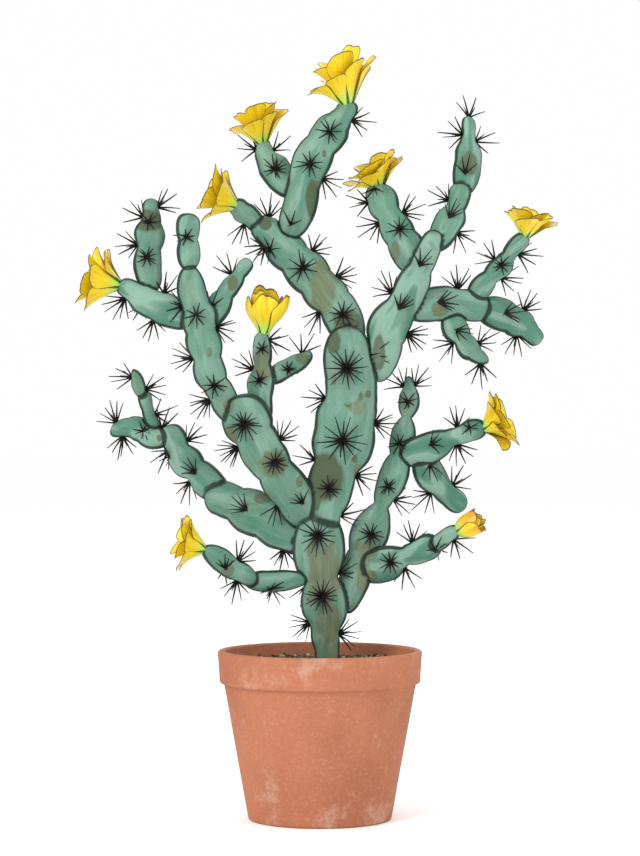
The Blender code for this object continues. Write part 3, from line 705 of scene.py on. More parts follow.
class CactusPotSettings(bpy.types.PropertyGroup):
    """Pot and soil"""

    clay: colour_property("Clay", "Fired clay", (0.430, 0.155, 0.078))
    dark_clay: colour_property("Dark clay", "Damp or smoked clay", (0.310, 0.104, 0.052))
    bloom: colour_property("Bloom", "Chalky salts on the clay", (0.640, 0.480, 0.380))
    earth: colour_property("Earth", "Soil", (0.040, 0.024, 0.015))
    grit_size: length_property("Grit size", "Radius of the soil's grains", 0.0011)
    gravel_size: length_property("Gravel size", "Radius of the larger stones", 0.0028)
    seed: bpy.props.IntProperty(name="Seed", description="Changes how the grit lies", default=3)


class CactusStageSettings(bpy.types.PropertyGroup):
    """Floor, lights and camera"""

    floor: colour_property("Floor", "Floor and background", (0.995, 0.995, 0.995))
    lens: bpy.props.FloatProperty(name="Lens", description="Focal length in millimetres", default=110.0)
    distance: length_property("Distance", "From the camera to the stem", 2.56)
    eye_height: length_property("Eye height", "Height of the camera", 0.382)


# ------------------------------------------------------------------ pads


def pad_knots(pad):
    """The pad's base, beads and tip as points in metres."""
    flat = [pad["base"], *[bead[:2] for bead in pad["beads"]], pad["tip"]]
    steps = [math.dist(a, b) for a, b in zip(flat, flat[1:])]
    front, back = pad["depth"]
    depths = [front + (back - front) * sum(steps[:index]) / sum(steps) for index in range(len(flat))]
    return np.array([(x, y, z) for (x, z), y in zip(flat, depths)]) * MM


def on_curve(knots, place):
    """A smooth curve through the knots: place 1.5 is halfway between knots 1 and 2."""
    last = len(knots) - 1
    start = min(int(place), last - 1)
    share = place - start
    before = knots[max(start - 1, 0)]
    here, there = knots[start], knots[start + 1]
    after = knots[min(start + 2, last)]
    lead = (there - before) / 2
    trail = (after - here) / 2
    return (
        here * (1 + 2 * share) * (1 - share) ** 2 + lead * share * (1 - share) ** 2
        + there * share**2 * (3 - 2 * share) + trail * share**2 * (share - 1)
    )


# Beads whose distance is the first share of their half-widths' sum have no waist between them,
# and at the second share it is as deep as the pad's pinch. A sharper waist is a shorter one.
PINCH_STARTS, PINCH_FULL = 0.35, 0.85
WAIST_SHARPNESS = 2.2
ROUND_END = 0.5


def half_width(pad, knots, place):
    """Half-width in metres at a place: rounded ends, and a waist between beads that stand apart."""
    beads = pad["beads"]
    base_power, tip_power = pad.get("ends", (ROUND_END, ROUND_END))
    if place <= 1:
        return beads[0][2] * MM * max(0.0, 1 - (1 - place) ** 2) ** base_power
    if place >= len(beads):
        return beads[-1][2] * MM * max(0.0, 1 - (place - len(beads)) ** 2) ** tip_power
    index = min(int(place) - 1, len(beads) - 2)
    share = place - 1 - index
    bead, following = beads[index], beads[index + 1]
    pinch = bead[3] if len(bead) > 3 else pad["pinch"]
    distance = np.linalg.norm(knots[index + 2] - knots[index + 1]) / MM
    apart = distance / (bead[2] + following[2])
    strength = min(1.0, max(0.0, (apart - PINCH_STARTS) / (PINCH_FULL - PINCH_STARTS)))
    eased = share * share * (3 - 2 * share)
    width = bead[2] + (following[2] - bead[2]) * eased
    waist = (1 - abs(2 * share - 1)) ** WAIST_SHARPNESS
    return width * MM * (1 - (1 - pinch) * strength * waist)


PAD_SIDES = 48
CAP_RINGS = 12
# How far before and after a ring its direction is taken, in knots.
NEARBY = 0.02


def ring_places(knots, step):
    """Places along a pad for its rings: even between beads, closing in on each pole."""
    last = len(knots) - 1
    ends = [1 - math.sin(math.pi / 2 * row / CAP_RINGS) for row in range(CAP_RINGS - 1, 0, -1)]
    places = list(ends)
    for index in range(1, last - 1):
        count = 2 * math.ceil(np.linalg.norm(knots[index + 1] - knots[index]) / step / 2)
        places += [index + part / count for part in range(count)]
    return [*places, last - 1.0, *[last - end for end in reversed(ends)]]


def pad_surface(pad, settings):
    """Grid points of a pad and its two poles; each point's place in the straightened pad, and
    the way that the pad's broad face looks there."""
    knots = pad_knots(pad)
    places = ring_places(knots, settings.ring_step)
    centres = np.array([on_curve(knots, place) for place in places])
    ahead = np.array([on_curve(knots, min(place + NEARBY, len(knots) - 1)) for place in places])
    behind = np.array([on_curve(knots, max(place - NEARBY, 0)) for place in places])
    travelled = np.concatenate([[0], np.cumsum(np.linalg.norm(np.diff(centres, axis=0), axis=1))])
    turn = math.radians(pad["turn"])
    angles = np.linspace(0, math.tau, PAD_SIDES, endpoint=False)
    points, straight, facings = [], [], []
    for row, place in enumerate(places):
        along = Vector(ahead[row] - behind[row]).normalized()
        facing = Vector((0, -1, 0))
        facing = (facing - along * along.dot(facing)).normalized()
        facing.rotate(Matrix.Rotation(turn, 3, along))
        across = along.cross(facing)
        width = half_width(pad, knots, place)
        depth = min(width, settings.flatness * width + settings.least_half_thickness)
        for angle in angles:
            sideways, forward = width * math.cos(angle), depth * math.sin(angle)
            points.append(centres[row] + np.array(across) * sideways + np.array(facing) * forward)
            straight.append((sideways, forward, travelled[row]))
            facings.append(facing)
    points += [knots[0], knots[-1]]
    straight += [(0, 0, travelled[0]), (0, 0, travelled[-1])]
    facings += [facings[0], facings[-1]]
    return np.array(points), np.array(straight), np.array(facings), len(places)


def point_normals(points, faces):
    """Outward unit normals of a mesh's points."""
    mesh = bpy.data.meshes.new("normals")
    mesh.from_pydata([tuple(point) for point in points], [], faces)
    mesh.update()
    normals = np.empty(len(points) * 3, np.float32)
    mesh.vertices.foreach_get("normal", normals)
    bpy.data.meshes.remove(mesh)
    return normals.reshape(-1, 3)


class Areole:
    """A spine cluster's place on a pad: where it sits, which way is out, and its spines."""

    def __init__(self, place, normal, kind, toward, reach, spines):
        self.place = Vector(place)
        self.normal = Vector(normal)
        self.kind = kind
        self.toward = toward
        self.reach = reach
        self.spines = spines
        self.sunk = 0.0


OUT_OF_REACH = 1.0
# In metres: how far outside its place a tuft looks for the margin, and how deep it sits in it.
MARGIN_PUSH = 0.007
LEAST_NOTCH, DEEPEST_NOTCH = 0.0034, 0.0062
# Clusters on the back stand up to this many millimetres off those on the front.
BACK_SHIFT = 3
LEAST_BACK_SPINES = 7
BACK_FAN_SHARE = 0.8


def on_face(tree, x, z, side):
    """Where a line along Y through (x, z) meets the pad; side is -1 for its front, 1 for its back."""
    place, normal, _, _ = tree.ray_cast(Vector((x, side * OUT_OF_REACH, z)), Vector((0, -side, 0)))
    if place is None:
        place, normal, _, _ = tree.find_nearest(Vector((x, 0, z)))
    return place, normal


def opposite(tree, x, z, dice):
    """A place on the pad's back, near the one that lies opposite (x, z) in millimetres."""
    shift = dice.uniform(-BACK_SHIFT, BACK_SHIFT, 2)
    return on_face(tree, (x + shift[0]) * MM, (z + shift[1]) * MM, 1)


def areoles_of(name, knots, tree, spines):
    """Every cluster of a pad: those of its front, its margin, and their like on its back."""
    table = CLUSTERS[name]
    dice = np.random.default_rng([spines.seed, len(name), sum(map(ord, name))])
    found = []
    for x, z, reach, count in table.get("stars", ()):
        found.append(Areole(*on_face(tree, x * MM, z * MM, -1), "star", 0, reach * MM, count))
        back = opposite(tree, x, z, dice)
        found.append(Areole(*back, "star", 0, reach * MM, max(LEAST_BACK_SPINES, count - 3)))
    for x, z, toward, count in table.get("fans", ()):
        found.append(Areole(*on_face(tree, x * MM, z * MM, -1), "fan", toward, spines.fan_reach, count))
        back = opposite(tree, x, z, dice)
        found.append(Areole(*back, "star", 0, spines.fan_reach * BACK_FAN_SHARE, count + 3))
    for x, z, toward, count in table.get("tufts", ()):
        heading = math.radians(toward)
        middle = knots[np.argmin(np.hypot(knots[:, 0] - x * MM, knots[:, 2] - z * MM))]
        notch = Vector((x * MM, middle[1], z * MM))
        outside = notch + Vector((math.cos(heading), 0, math.sin(heading))) * MARGIN_PUSH
        place, normal, _, _ = tree.find_nearest(outside)
        areole = Areole(place, normal, "tuft", toward, spines.tuft_reach, count)
        areole.sunk = min(DEEPEST_NOTCH, max(LEAST_NOTCH, (place - notch).dot(normal)))
        found.append(areole)
    return found


SWELLING_RADIUS = 0.0055
DIMPLE_RADIUS = 0.0022
DIMPLE_SHARE = 0.45
NOTCH_RADIUS = 0.0080
NOTCH_POWER = 1.3


def bell(gap, radius, power=2):
    """1 at no gap, falling off towards 0 beyond a radius."""
    return np.exp(-((gap / radius) ** power))


def notch(points, areoles):
    """How far each point moves where tufts sit in notches of the margin; the tufts sink too."""
    moves = np.zeros(points.shape)
    for areole in areoles:
        if areole.sunk:
            gap = np.linalg.norm(points - np.array(areole.place), axis=1)
            inward = -np.array(areole.normal) * areole.sunk
            moves += bell(gap, NOTCH_RADIUS, NOTCH_POWER)[:, None] * inward
            areole.place -= areole.normal * areole.sunk
    return moves


def swell(points, normals, areoles, height):
    """How far each point rises: a low mound round each areole, dimpled where the wool sits."""
    rise = np.zeros(len(points))
    for areole in areoles:
        if areole.sunk:
            continue
        gap = np.linalg.norm(points - np.array(areole.place), axis=1)
        mound = bell(gap, SWELLING_RADIUS) - DIMPLE_SHARE * bell(gap, DIMPLE_RADIUS)
        facing = np.clip(normals @ np.array(areole.normal), 0, 1)
        rise = np.maximum(rise, mound * facing * height)
    return rise


PATCH_FALL, PATCH_POWER = 0.8, 1.5


def patch_marks(points):
    """How corky each point is, and how dark the cork, from the table of patches."""
    strength, darkness = np.zeros(len(points)), np.zeros(len(points))
    for x, z, wide, tall, dark in PATCHES:
        gap = ((points[:, 0] / MM - x) / wide) ** 2 + ((points[:, 2] / MM - z) / tall) ** 2
        here = np.exp(-PATCH_FALL * gap**PATCH_POWER)
        darkness = np.where(here > strength, dark, darkness)
        strength = np.maximum(strength, here)
    return strength, darkness


CENTRE_LINE_POINTS = 40
SLOW_WAVES, QUICK_WAVES, QUICK_SHARE = 38.0, 130.0, 0.35
WAVE_SHIFT = Vector((5, 3, 9))
# In metres: how far off another pad counts, how wide the painted shade round it is where pads meet,
# how far the corky marks reach from a pad's two ends, and the height below which the stem turns to bark.
CREASE_SHADE_SEARCH, CREASE_SHADE_WIDTH = 0.004, 0.0020
BASE_SCAR, TIP_SCAR = 0.012, 0.008
BARK_TOP, BARK_FADE = 0.215, 0.07


class Pad:
    """A pad's skin before it is painted: its points, faces, margin and areoles."""

    def __init__(self, name, pad, settings, spines):
        self.name = name
        self.marble = pad["marble"]
        points, self.straight, facings, rows = pad_surface(pad, settings)
        self.faces = [face[::-1] for face in tube_faces(rows, PAD_SIDES)]
        normals = point_normals(points, self.faces)
        # How far the skin turns away from the pad's broad face; the material darkens the skin there, partly
        # as a darker margin and partly as painted shade on the rounded edge.
        self.margin = 1 - np.abs((normals * facings).sum(axis=1))
        tree = BVHTree.FromPolygons([Vector(point) for point in points], self.faces)
        line = pad_knots(pad)
        shares = np.linspace(0, len(line) - 1, CENTRE_LINE_POINTS)
        self.areoles = areoles_of(name, np.array([on_curve(line, share) for share in shares]), tree, spines)
        slow = np.array([noise.noise(Vector(point) * SLOW_WAVES) for point in points])
        quick = np.array([noise.noise(Vector(point) * QUICK_WAVES + WAVE_SHIFT) for point in points])
        rise = swell(points, normals, self.areoles, settings.swelling)
        rise += settings.wobble * (slow + QUICK_SHARE * quick)
        self.points = points + normals * rise[:, None] + notch(points, self.areoles)
        for areole in self.areoles:
            if not areole.sunk:
                areole.place += areole.normal * settings.swelling * 0.5
        self.tree = BVHTree.FromPolygons([Vector(point) for point in self.points], self.faces)
        self.low = self.points.min(axis=0) - CREASE_SHADE_SEARCH
        self.high = self.points.max(axis=0) + CREASE_SHADE_SEARCH

    def crease(self, others):
        """How near each point is to another pad's skin, 1 where they meet: the mask of the painted shade
        between pads.
        """
        nearest = np.full(len(self.points), CREASE_SHADE_SEARCH)
        for other in others:
            if other is self or (self.low > other.high).any() or (other.low > self.high).any():
                continue
            inside = ((self.points > other.low) & (self.points < other.high)).all(axis=1)
            for index in np.flatnonzero(inside):
                found = other.tree.find_nearest(Vector(self.points[index]), nearest[index])
                if found[0] is not None:
                    nearest[index] = found[3]
        return bell(nearest, CREASE_SHADE_WIDTH)

    def paint(self, others, material):
        """Makes the finished piece, with the attributes that its material reads."""
        travelled = self.straight[:, 2]
        patch, darkness = patch_marks(self.points)
        offset = np.random.default_rng(sum(map(ord, self.name))).uniform(-3, 3, 3)
        attributes = {
            "skin": self.straight + offset,
            "margin": self.margin,
            "patch": patch,
            "patch_dark": darkness,
            "marble": np.full(len(self.points), self.marble),
            "crease": self.crease(others),
            "joint": np.exp(-travelled / BASE_SCAR) + np.exp((travelled - travelled.max()) / TIP_SCAR),
            "age": np.clip((BARK_TOP - self.points[:, 2]) / BARK_FADE, 0, 1) * (self.name == "trunk_lower"),
        }
        piece = new_piece(self.name + "_skin", self.points, self.faces, attributes, material)
        settle(piece, "corky_skin" if self.name == "trunk_lower" else "cactus_skin", self.name)


def skin_finish(colours):
    """Waxy blue-green skin: streaks along the pad, marbling, corky patches, a dark edge band that is
    partly a darker margin and partly painted shade, and painted shade where pads meet.
    """
    skin = Finish("cactus_skin")
    place = skin.attribute("skin", "Vector")
    along = skin.stretched(place, (1.0, 1.0, 0.20))
    streaks = skin.noise(along, 95.0, 4.0, 0.55, 0.8)
    broad = skin.noise(along, 32.0, 3.0, 0.5, 0.5)
    clouds = skin.noise(place, 24.0, 3.0, 0.55)
    threads = skin.noise(skin.stretched(place, (1.0, 1.0, 0.10)), 210.0, 3.0, 0.6)
    specks = skin.noise(place, 480.0, 3.0, 0.65)
    marble = skin.attribute("marble")
    flow = skin.noise(skin.stretched(place, (1.0, 1.0, 0.30)), 26.0, 2.0, 0.45, 0.7)
    bands = (flow * 26.0 + streaks * 2.4).wave()
    fine = (flow * 90.0 + streaks * 9.0).wave()
    base = skin.layered(
        colours.green,
        (clouds.above(0.38, 0.66) * 0.65, colours.grey),
        (streaks.above(0.47, 0.62) * 0.55, colours.teal),
        (broad.above(0.50, 0.74) * 0.45, colours.pale),
        (threads.above(0.52, 0.66) * 0.28, colours.pale),
        (specks.above(0.52, 0.70) * 0.14, colours.pale),
        (specks.above(0.46, 0.30) * 0.14, colours.teal),
        (bands.above(0.50, 0.95) * marble * 0.75, colours.pale),
        (bands.above(0.50, 0.05) * marble, colours.teal),
        (fine.above(0.55, 0.95) * bands * marble * 0.50, colours.pale),
    )
    ragged = skin.noise(along, 120.0, 4.0, 0.6)
    dark = skin.attribute("patch_dark")
    edge = (ragged - 0.5) * (1.5 - dark * 1.1) + (clouds - 0.5) * (1.3 - dark)
    patch = (skin.attribute("patch") + edge + dark * 0.08).above(0.22, 0.56)
    cork = skin.mix(dark.above(0.1, 0.75), colours.cork, colours.olive)
    cork = skin.mix(threads.above(0.46, 0.60) * (1.0 - dark) * 0.70, cork, colours.brown)
    cork = skin.mix(threads.above(0.48, 0.36) * (1.0 - dark) * 0.55, cork, base)
    base = skin.mix(patch * (0.72 + dark * 0.20), base, cork)
    age = (skin.attribute("age") + (ragged - 0.5) * 0.9).above(0.30, 0.90)
    base = skin.mix(age * 0.75, base, skin.mix(streaks.above(0.4, 0.6), colours.cork, colours.brown))
    dots = skin.cells(place, 150.0).above(0.13, 0.07) * skin.noise(place, 60.0).above(0.58, 0.66)
    base = skin.mix(dots * 0.65, base, colours.olive)
    joint = (skin.attribute("joint") + (ragged - 0.5) * 0.5).above(0.30, 1.1)
    base = skin.mix(joint * 0.30, base, colours.olive)
    # Dark band where the skin turns away from the face: partly a darker skin margin, partly painted shade
    # on the rounded edge.
    side = skin.attribute("margin") + (ragged - 0.5) * 0.05
    margin = side.above(0.24, 0.40) * (1.0 - side.above(0.80, 0.97) * 0.25)
    # Painted shade: a dark line on the skin wherever another pad meets it.
    crease = skin.attribute("crease").above(0.20, 0.70)
    # One mask for the dark edge band (partly a darker margin, partly painted shade) and the painted shade
    # where pads meet.
    line = (margin * 0.92).at_least(crease * 0.94)
    base = skin.mix(line, base, colours.margin)
    pores = skin.noise(place, 900.0, 2.0)
    bark = skin.noise(along, 260.0, 5.0, 0.7)
    relief = pores * 0.4 + specks * 0.25 + bark * (patch + age) * 1.2 + threads * 0.4
    skin.set(
        base_color=base,
        roughness=0.44 + broad * 0.20 + patch * 0.18,
        coat_weight=(1.0 - patch) * (1.0 - line) * 0.10,
        coat_roughness=0.35,
        specular_ior_level=0.28,
        normal=skin.bump(relief, 0.0008, 0.6),
    )
    return skin.material


# ------------------------------------------------------------------ spines


# In degrees: how far spines stand off the skin, and half the spread of one-sided clusters.
STAR_LIFT, FAN_LIFT = (12, 32), (18, 34)
TUFT_SPREAD, FAN_SPREAD = 50, 48
STAR_MIDDLE_SPINES = 2
LEAST_TANGENT = 0.2


def tangent(normal, heading):
    """The direction at a heading in radians, 0 being +X and a quarter turn +Z, laid on the surface."""
    flat = Vector((math.cos(heading), 0, math.sin(heading)))
    laid = flat - normal * flat.dot(normal)
    return laid.normalized() if laid.length > LEAST_TANGENT else flat


def lifted(normal, heading, degrees):
    """A direction along the surface, turned away from it."""
    lift = math.radians(degrees)
    return tangent(normal, heading) * math.cos(lift) + normal * math.sin(lift)


def spines_of(areole, dice):
    """(direction, length) of each spine of a cluster."""
    found = []
    if areole.kind == "star":
        turn = dice.uniform(0, math.tau)
        for index in range(areole.spines):
            heading = turn + math.tau * (index + dice.uniform(-0.22, 0.22)) / areole.spines
            way = lifted(areole.normal, heading, dice.uniform(*STAR_LIFT))
            found.append((way, areole.reach * dice.uniform(0.78, 1.12)))
        for _ in range(STAR_MIDDLE_SPINES):
            way = areole.normal + Vector(dice.uniform(-0.5, 0.5, 3))
            found.append((way.normalized(), areole.reach * dice.uniform(0.6, 0.85)))
        return found
    middle = math.radians(areole.toward)
    spread = math.radians(TUFT_SPREAD if areole.kind == "tuft" else FAN_SPREAD)
    for index in range(areole.spines):
        share = 2 * index / max(1, areole.spines - 1) - 1
        heading = middle + spread * share + dice.uniform(-0.08, 0.08)
        length = areole.reach * (1.12 - 0.22 * abs(share)) * dice.uniform(0.85, 1.1)
        if areole.kind == "tuft":
            way = Vector((math.cos(heading), dice.uniform(-0.30, 0.30), math.sin(heading)))
        else:
            way = lifted(areole.normal, heading, dice.uniform(*FAN_LIFT))
        found.append((way.normalized(), length))
    if areole.kind == "tuft":
        for side in (-1, 1):
            heading = middle + dice.uniform(-0.5, 0.5)
            way = Vector((math.cos(heading), side * dice.uniform(0.8, 1.3), math.sin(heading)))
            found.append((way.normalized(), areole.reach * 0.75))
    return found


def spine_growth():
    """A tapered, slightly bent spine at each point, along its heading and as long as its reach."""
    tree = Growth("spines", {
        "Sides": ("Int", 5), "Rings": ("Int", 3), "Foot Radius": ("Float", 0.0008),
        "Tip Radius": ("Float", 0.0001), "Bend": ("Float", 0.05), "Material": ("Material", None),
    })
    shape = tree.node("GeometryNodeMeshCone", {"fill_type": "TRIANGLE_FAN"}, {
        "Vertices": tree.given("Sides"), "Side Segments": tree.given("Rings"),
        "Radius Top": tree.given("Tip Radius"), "Radius Bottom": tree.given("Foot Radius"), "Depth": 1.0,
    })
    height = tree.parts(tree.node("GeometryNodeInputPosition"))[2]
    bent = tree.node("ShaderNodeCombineXYZ", inputs={0: height * height * tree.given("Bend")})
    inputs = {"Geometry": tree.marked(shape, "along", height), "Offset": bent}
    curved = tree.node("GeometryNodeSetPosition", inputs=inputs)
    spin = tree.node("FunctionNodeAxisAngleToRotation", inputs={
        "Axis": (0, 0, 1), "Angle": tree.named("spin", "FLOAT"),
    })
    inputs = {0: tree.headed(), 1: spin}
    turned = tree.node("FunctionNodeRotateRotation", {"rotation_space": "LOCAL"}, inputs)
    size = tree.girthed(tree.named("reach", "FLOAT"))
    placed = tree.copies(tree.given("Geometry"), curved, turned, size)
    tree.finish(placed, tree.given("Material"))
    return tree


def needle_points(name, needles, dice):
    """A carrier of loose points for a growth, from (place, heading, reach, girth) of each."""
    places, headings, reaches, girths = zip(*needles)
    return new_piece(name, places, attributes={
        "heading": np.array(headings), "reach": reaches, "girth": girths,
        "spin": dice.uniform(0, math.tau, len(places)),
    })


def spine_finish(colours):
    horn = Finish("spine")
    along = horn.attribute("along")
    grain = horn.noise(horn.object_place(), 700.0, 2.0)
    base = horn.mix(along.above(0.01, 0.16), colours.foot, colours.colour)
    base = horn.mix(grain.above(0.45, 0.8) * 0.5, base, colours.foot)
    horn.set(base_color=base, roughness=0.45 + grain * 0.2, specular_ior_level=0.18,
             normal=horn.bump(grain, 0.0002, 0.3))
    return horn.material


def wool_finish(colours):
    wool = Finish("areole_wool")
    place = wool.object_place()
    tufted = wool.noise(place, 1400.0, 3.0, 0.7)
    base = wool.mix(tufted.above(0.35, 0.7), (0.016, 0.010, 0.006), colours.wool)
    wool.set(base_color=base, roughness=0.95, normal=wool.bump(tufted, 0.0006, 0.9))
    return wool.material


def areole_growth():
    """A low woolly cushion at each point, laid flat on the skin."""
    tree = Growth("areoles", {
        "Radius": ("Float", 0.0016), "Height": ("Float", 0.5), "Roughness": ("Float", 0.0005),
        "Material": ("Material", None),
    })
    ball = tree.node("GeometryNodeMeshIcoSphere", inputs={
        "Radius": tree.given("Radius"), "Subdivisions": 2,
    })
    size = tree.girthed(tree.given("Height"))
    placed = tree.copies(tree.given("Geometry"), ball, tree.headed(), size)
    shaped = tree.roughened(placed, 900.0, tree.given("Roughness") * 3.0)
    tree.finish(shaped, tree.given("Material"))
    return tree


SPINE_TIP_SHARE = 0.36
SPINE_BEND = 0.0016
SPINE_SINK, SPINE_START = 0.0006, 0.0002
BRISTLES = 11
BRISTLE_SPREAD = 0.0014


def build_spines(areoles, settings):
    """Spines, bristles and wool of every areole, one mesh each."""
    dice = np.random.default_rng(settings.seed)
    needles = []
    for areole in areoles:
        for way, length in spines_of(areole, dice):
            place = areole.place - areole.normal * SPINE_SINK + way * SPINE_START
            needles.append((place, way, length, dice.uniform(0.8, 1.15)))
    tree = spine_growth()
    horn = spine_finish(settings)
    carrier = needle_points("spine_points", needles, dice)
    grown = tree.grow(carrier, "spines", **{
        "Sides": 5, "Rings": 3, "Foot Radius": settings.girth,
        "Tip Radius": settings.girth * SPINE_TIP_SHARE, "Bend": SPINE_BEND, "Material": horn,
    })
    settle(grown, "spine")
    needles = []
    for areole in areoles:
        for _ in range(BRISTLES):
            lean = areole.normal + Vector(dice.uniform(-0.75, 0.75, 3))
            side = lean - areole.normal * lean.dot(areole.normal)
            place = areole.place + side * BRISTLE_SPREAD
            needles.append((place, lean.normalized(), dice.uniform(0.0018, 0.0036), dice.uniform(0.7, 1.2)))
    carrier = needle_points("bristle_points", needles, dice)
    wool = wool_finish(settings)
    grown = tree.grow(carrier, "bristles", **{
        "Sides": 3, "Rings": 1, "Foot Radius": 0.00022, "Tip Radius": 0.00004, "Bend": 0.0002,
        "Material": wool,
    })
    settle(grown, "areole")
    girths = dice.uniform(0.85, 1.2, len(areoles))
    needles = [(areole.place, areole.normal, 1.0, girth) for areole, girth in zip(areoles, girths)]
    carrier = needle_points("areole_points", needles, dice)
    cushions = areole_growth().grow(carrier, "areoles", Material=wool)
    settle(cushions, "areole")


# ------------------------------------------------------------------ flowers


def bezier(points, shares):
    """A cubic curve through its four control points, read at each share."""
    first, second, third, fourth = (np.array(point, float)[:, None] for point in points)
    rest = 1 - shares
    return (
        first * rest**3 + 3 * second * rest**2 * shares + 3 * third * rest * shares**2
        + fourth * shares**3
    )


PETAL_COLUMNS, PETAL_ROWS = 19, 24
PETAL_FOOT_SHARE = 0.62
PETAL_OVERLAP = 1.28
# How far each control point of a drooping petal sags, and how much of its droop and tinge the
# outer and the inner whorl take.
PETAL_SAG = (0.0, 0.1, 0.6, 1.6)
WHORL_SHARES = (1.0, 0.6)
# How a petal's outline falls away towards its sides, the notch at its tip and the groove along
# its middle, as shares of the petal.
SIDE_FALL, SIDE_POWER = 0.36, 2.4
NOTCH_WIDTH, GROOVE_WIDTH, GROOVE_DEPTH = 0.13, 0.2, 0.03
SLOPE_STEP = 0.01


def petal_sheet(curve, angle, half_angle, radius, depth, dice):
    """Grid of one petal in its flower's frame, and for each point (across, along, edge distance)."""
    across = np.sin(np.linspace(-math.pi / 2, math.pi / 2, PETAL_COLUMNS))
    shares = np.linspace(0, 1, PETAL_ROWS)
    curl = dice.uniform(-0.05, 0.07)
    stretch = dice.uniform(0.93, 1.06)
    phase = dice.uniform(0, math.tau)
    notch = dice.uniform(0.02, 0.055)
    lean = dice.uniform(0.22, 0.62)
    fold = dice.uniform(0.05, 0.10)
    points, marks = [], []
    for share in shares:
        for side in across:
            tip = 1 - SIDE_FALL * abs(side) ** SIDE_POWER - notch * bell(side, NOTCH_WIDTH)
            tip += 0.022 * math.sin(7 * side + phase)
            along = share * tip * stretch
            (ring, ring_next), (rise, rise_next) = bezier(curve, np.array([along, along + SLOPE_STEP]))
            slope = math.atan2((rise_next - rise) * depth, (ring_next - ring) * radius)
            opened = math.sin(min(1, along / 0.8) * math.pi / 2)
            spread = PETAL_FOOT_SHARE + (1 - PETAL_FOOT_SHARE) * opened
            turn = angle + side * half_angle * spread
            cup = -fold * side**2 * min(1.0, 1.6 * along)
            cup += 0.025 * math.sin(5 * side + phase) * along**2
            cup -= GROOVE_DEPTH * bell(side, GROOVE_WIDTH) * along
            cup += curl * along**3 + 0.02 * math.sin(3 * along + phase) * side
            out = ring * radius + cup * radius * math.sin(slope)
            up = rise * depth - cup * radius * math.cos(slope) + lean * side * along * radius * 0.3
            points.append((out * math.cos(turn), out * math.sin(turn), up))
            edge_side = (1 - abs(side)) * half_angle * spread * max(ring * radius, 0.003)
            edge_tip = (1 - share) * depth * 1.3
            marks.append((side, along, min(edge_side, edge_tip) / MM))
    return np.array(points), np.array(marks)


class Seat:
    """Where a flower sits and how large it is; in its own frame its axis lies along Z."""

    def __init__(self, flower):
        self.base = Vector(flower["base"]) * MM
        axis = Vector(flower["mouth"]) * MM - self.base
        self.depth = axis.length
        self.turn = axis.to_track_quat("Z", "Y").to_matrix()
        self.radius = flower["radius"] * MM

    def carry(self, points):
        """Points of the flower's frame as points in space."""
        return np.array(points) @ np.array(self.turn).T + np.array(self.base)


def build_flower(name, flower, settings, finishes):
    """One flower: overlapping petals in two whorls, a green receptacle, stamens and a style."""
    dice = np.random.default_rng([settings.seed, sum(map(ord, name))])
    seat = Seat(flower)
    habit = HABITS[flower.get("habit", "open")]
    pull = flower.get("droop", (0.0, 0.0))
    points, faces, marks, tones = [], [], [], []
    for whorl, (curve, strength) in enumerate(zip((habit["outer"], habit["inner"]), WHORL_SHARES)):
        petals = flower["petals"] - 2 * whorl
        for index in range(petals):
            angle = math.tau * (index + 0.5 * whorl + dice.uniform(-0.08, 0.08)) / petals
            half_angle = math.pi / petals * PETAL_OVERLAP
            wander = dice.uniform(-0.04, 0.04, 2)
            way = seat.turn @ Vector((math.cos(angle), math.sin(angle), 0))
            droop = max(0.0, way.x * pull[0] + way.z * pull[1]) * strength
            shifted = [(ring + (wander[0] + 0.03 * droop) * step, rise + wander[1] * step - droop * sag)
                       for step, sag, (ring, rise) in zip(range(4), PETAL_SAG, curve)]
            sheet, mark = petal_sheet(shifted, angle, half_angle, seat.radius, seat.depth, dice)
            faces += grid_faces(PETAL_ROWS, PETAL_COLUMNS, len(points), wrap=False)
            points += list(sheet)
            marks += list(mark)
            tinge = flower["tinge"] * dice.uniform(0.3, 1.2) * strength
            tones += [(tinge, dice.uniform(0, 9), 0.0)] * len(sheet)
    attributes = {"petal": marks, "tone": tones}
    sheet = new_piece(name + "_sheet", seat.carry(points), faces, attributes, finishes["petal"])
    solid = sheet.modifiers.new("thickness", "SOLIDIFY")
    solid.thickness = settings.thickness
    solid.offset = 0.0
    piece = baked(sheet, name + "_petals")
    bpy.data.objects.remove(sheet)
    piece.data.shade_smooth()
    settle(piece, "petal", name)
    build_receptacle(name, seat, habit, finishes)
    if habit["stamens"]:
        build_stamens(name, seat, seat.radius * habit["stamens"], dice, finishes)
        build_style(name, seat, finishes)


def revolved(profile, sides):
    """Grid of a profile of (radius, height) turned about Z, and its two poles."""
    angles = np.linspace(0, math.tau, sides, endpoint=False)
    points = [(r * math.cos(a), r * math.sin(a), h) for r, h in profile[1:-1] for a in angles]
    points += [(0, 0, profile[0][1]), (0, 0, profile[-1][1])]
    return np.array(points), tube_faces(len(profile) - 2, sides)


# The green foot's section, (share of its radius, height), and its shallow ribs.
RECEPTACLE_SECTION = (
    (0, -0.0045), (0.62, -0.0042), (0.85, -0.0025), (1.0, 0.0), (1.02, 0.002), (0.8, 0.0042), (0, 0.0046),
)
LEAST_RECEPTACLE, RECEPTACLE_MARGIN = 0.0040, 0.0010
RECEPTACLE_RIBS, RIB_DEPTH = 7, 0.05


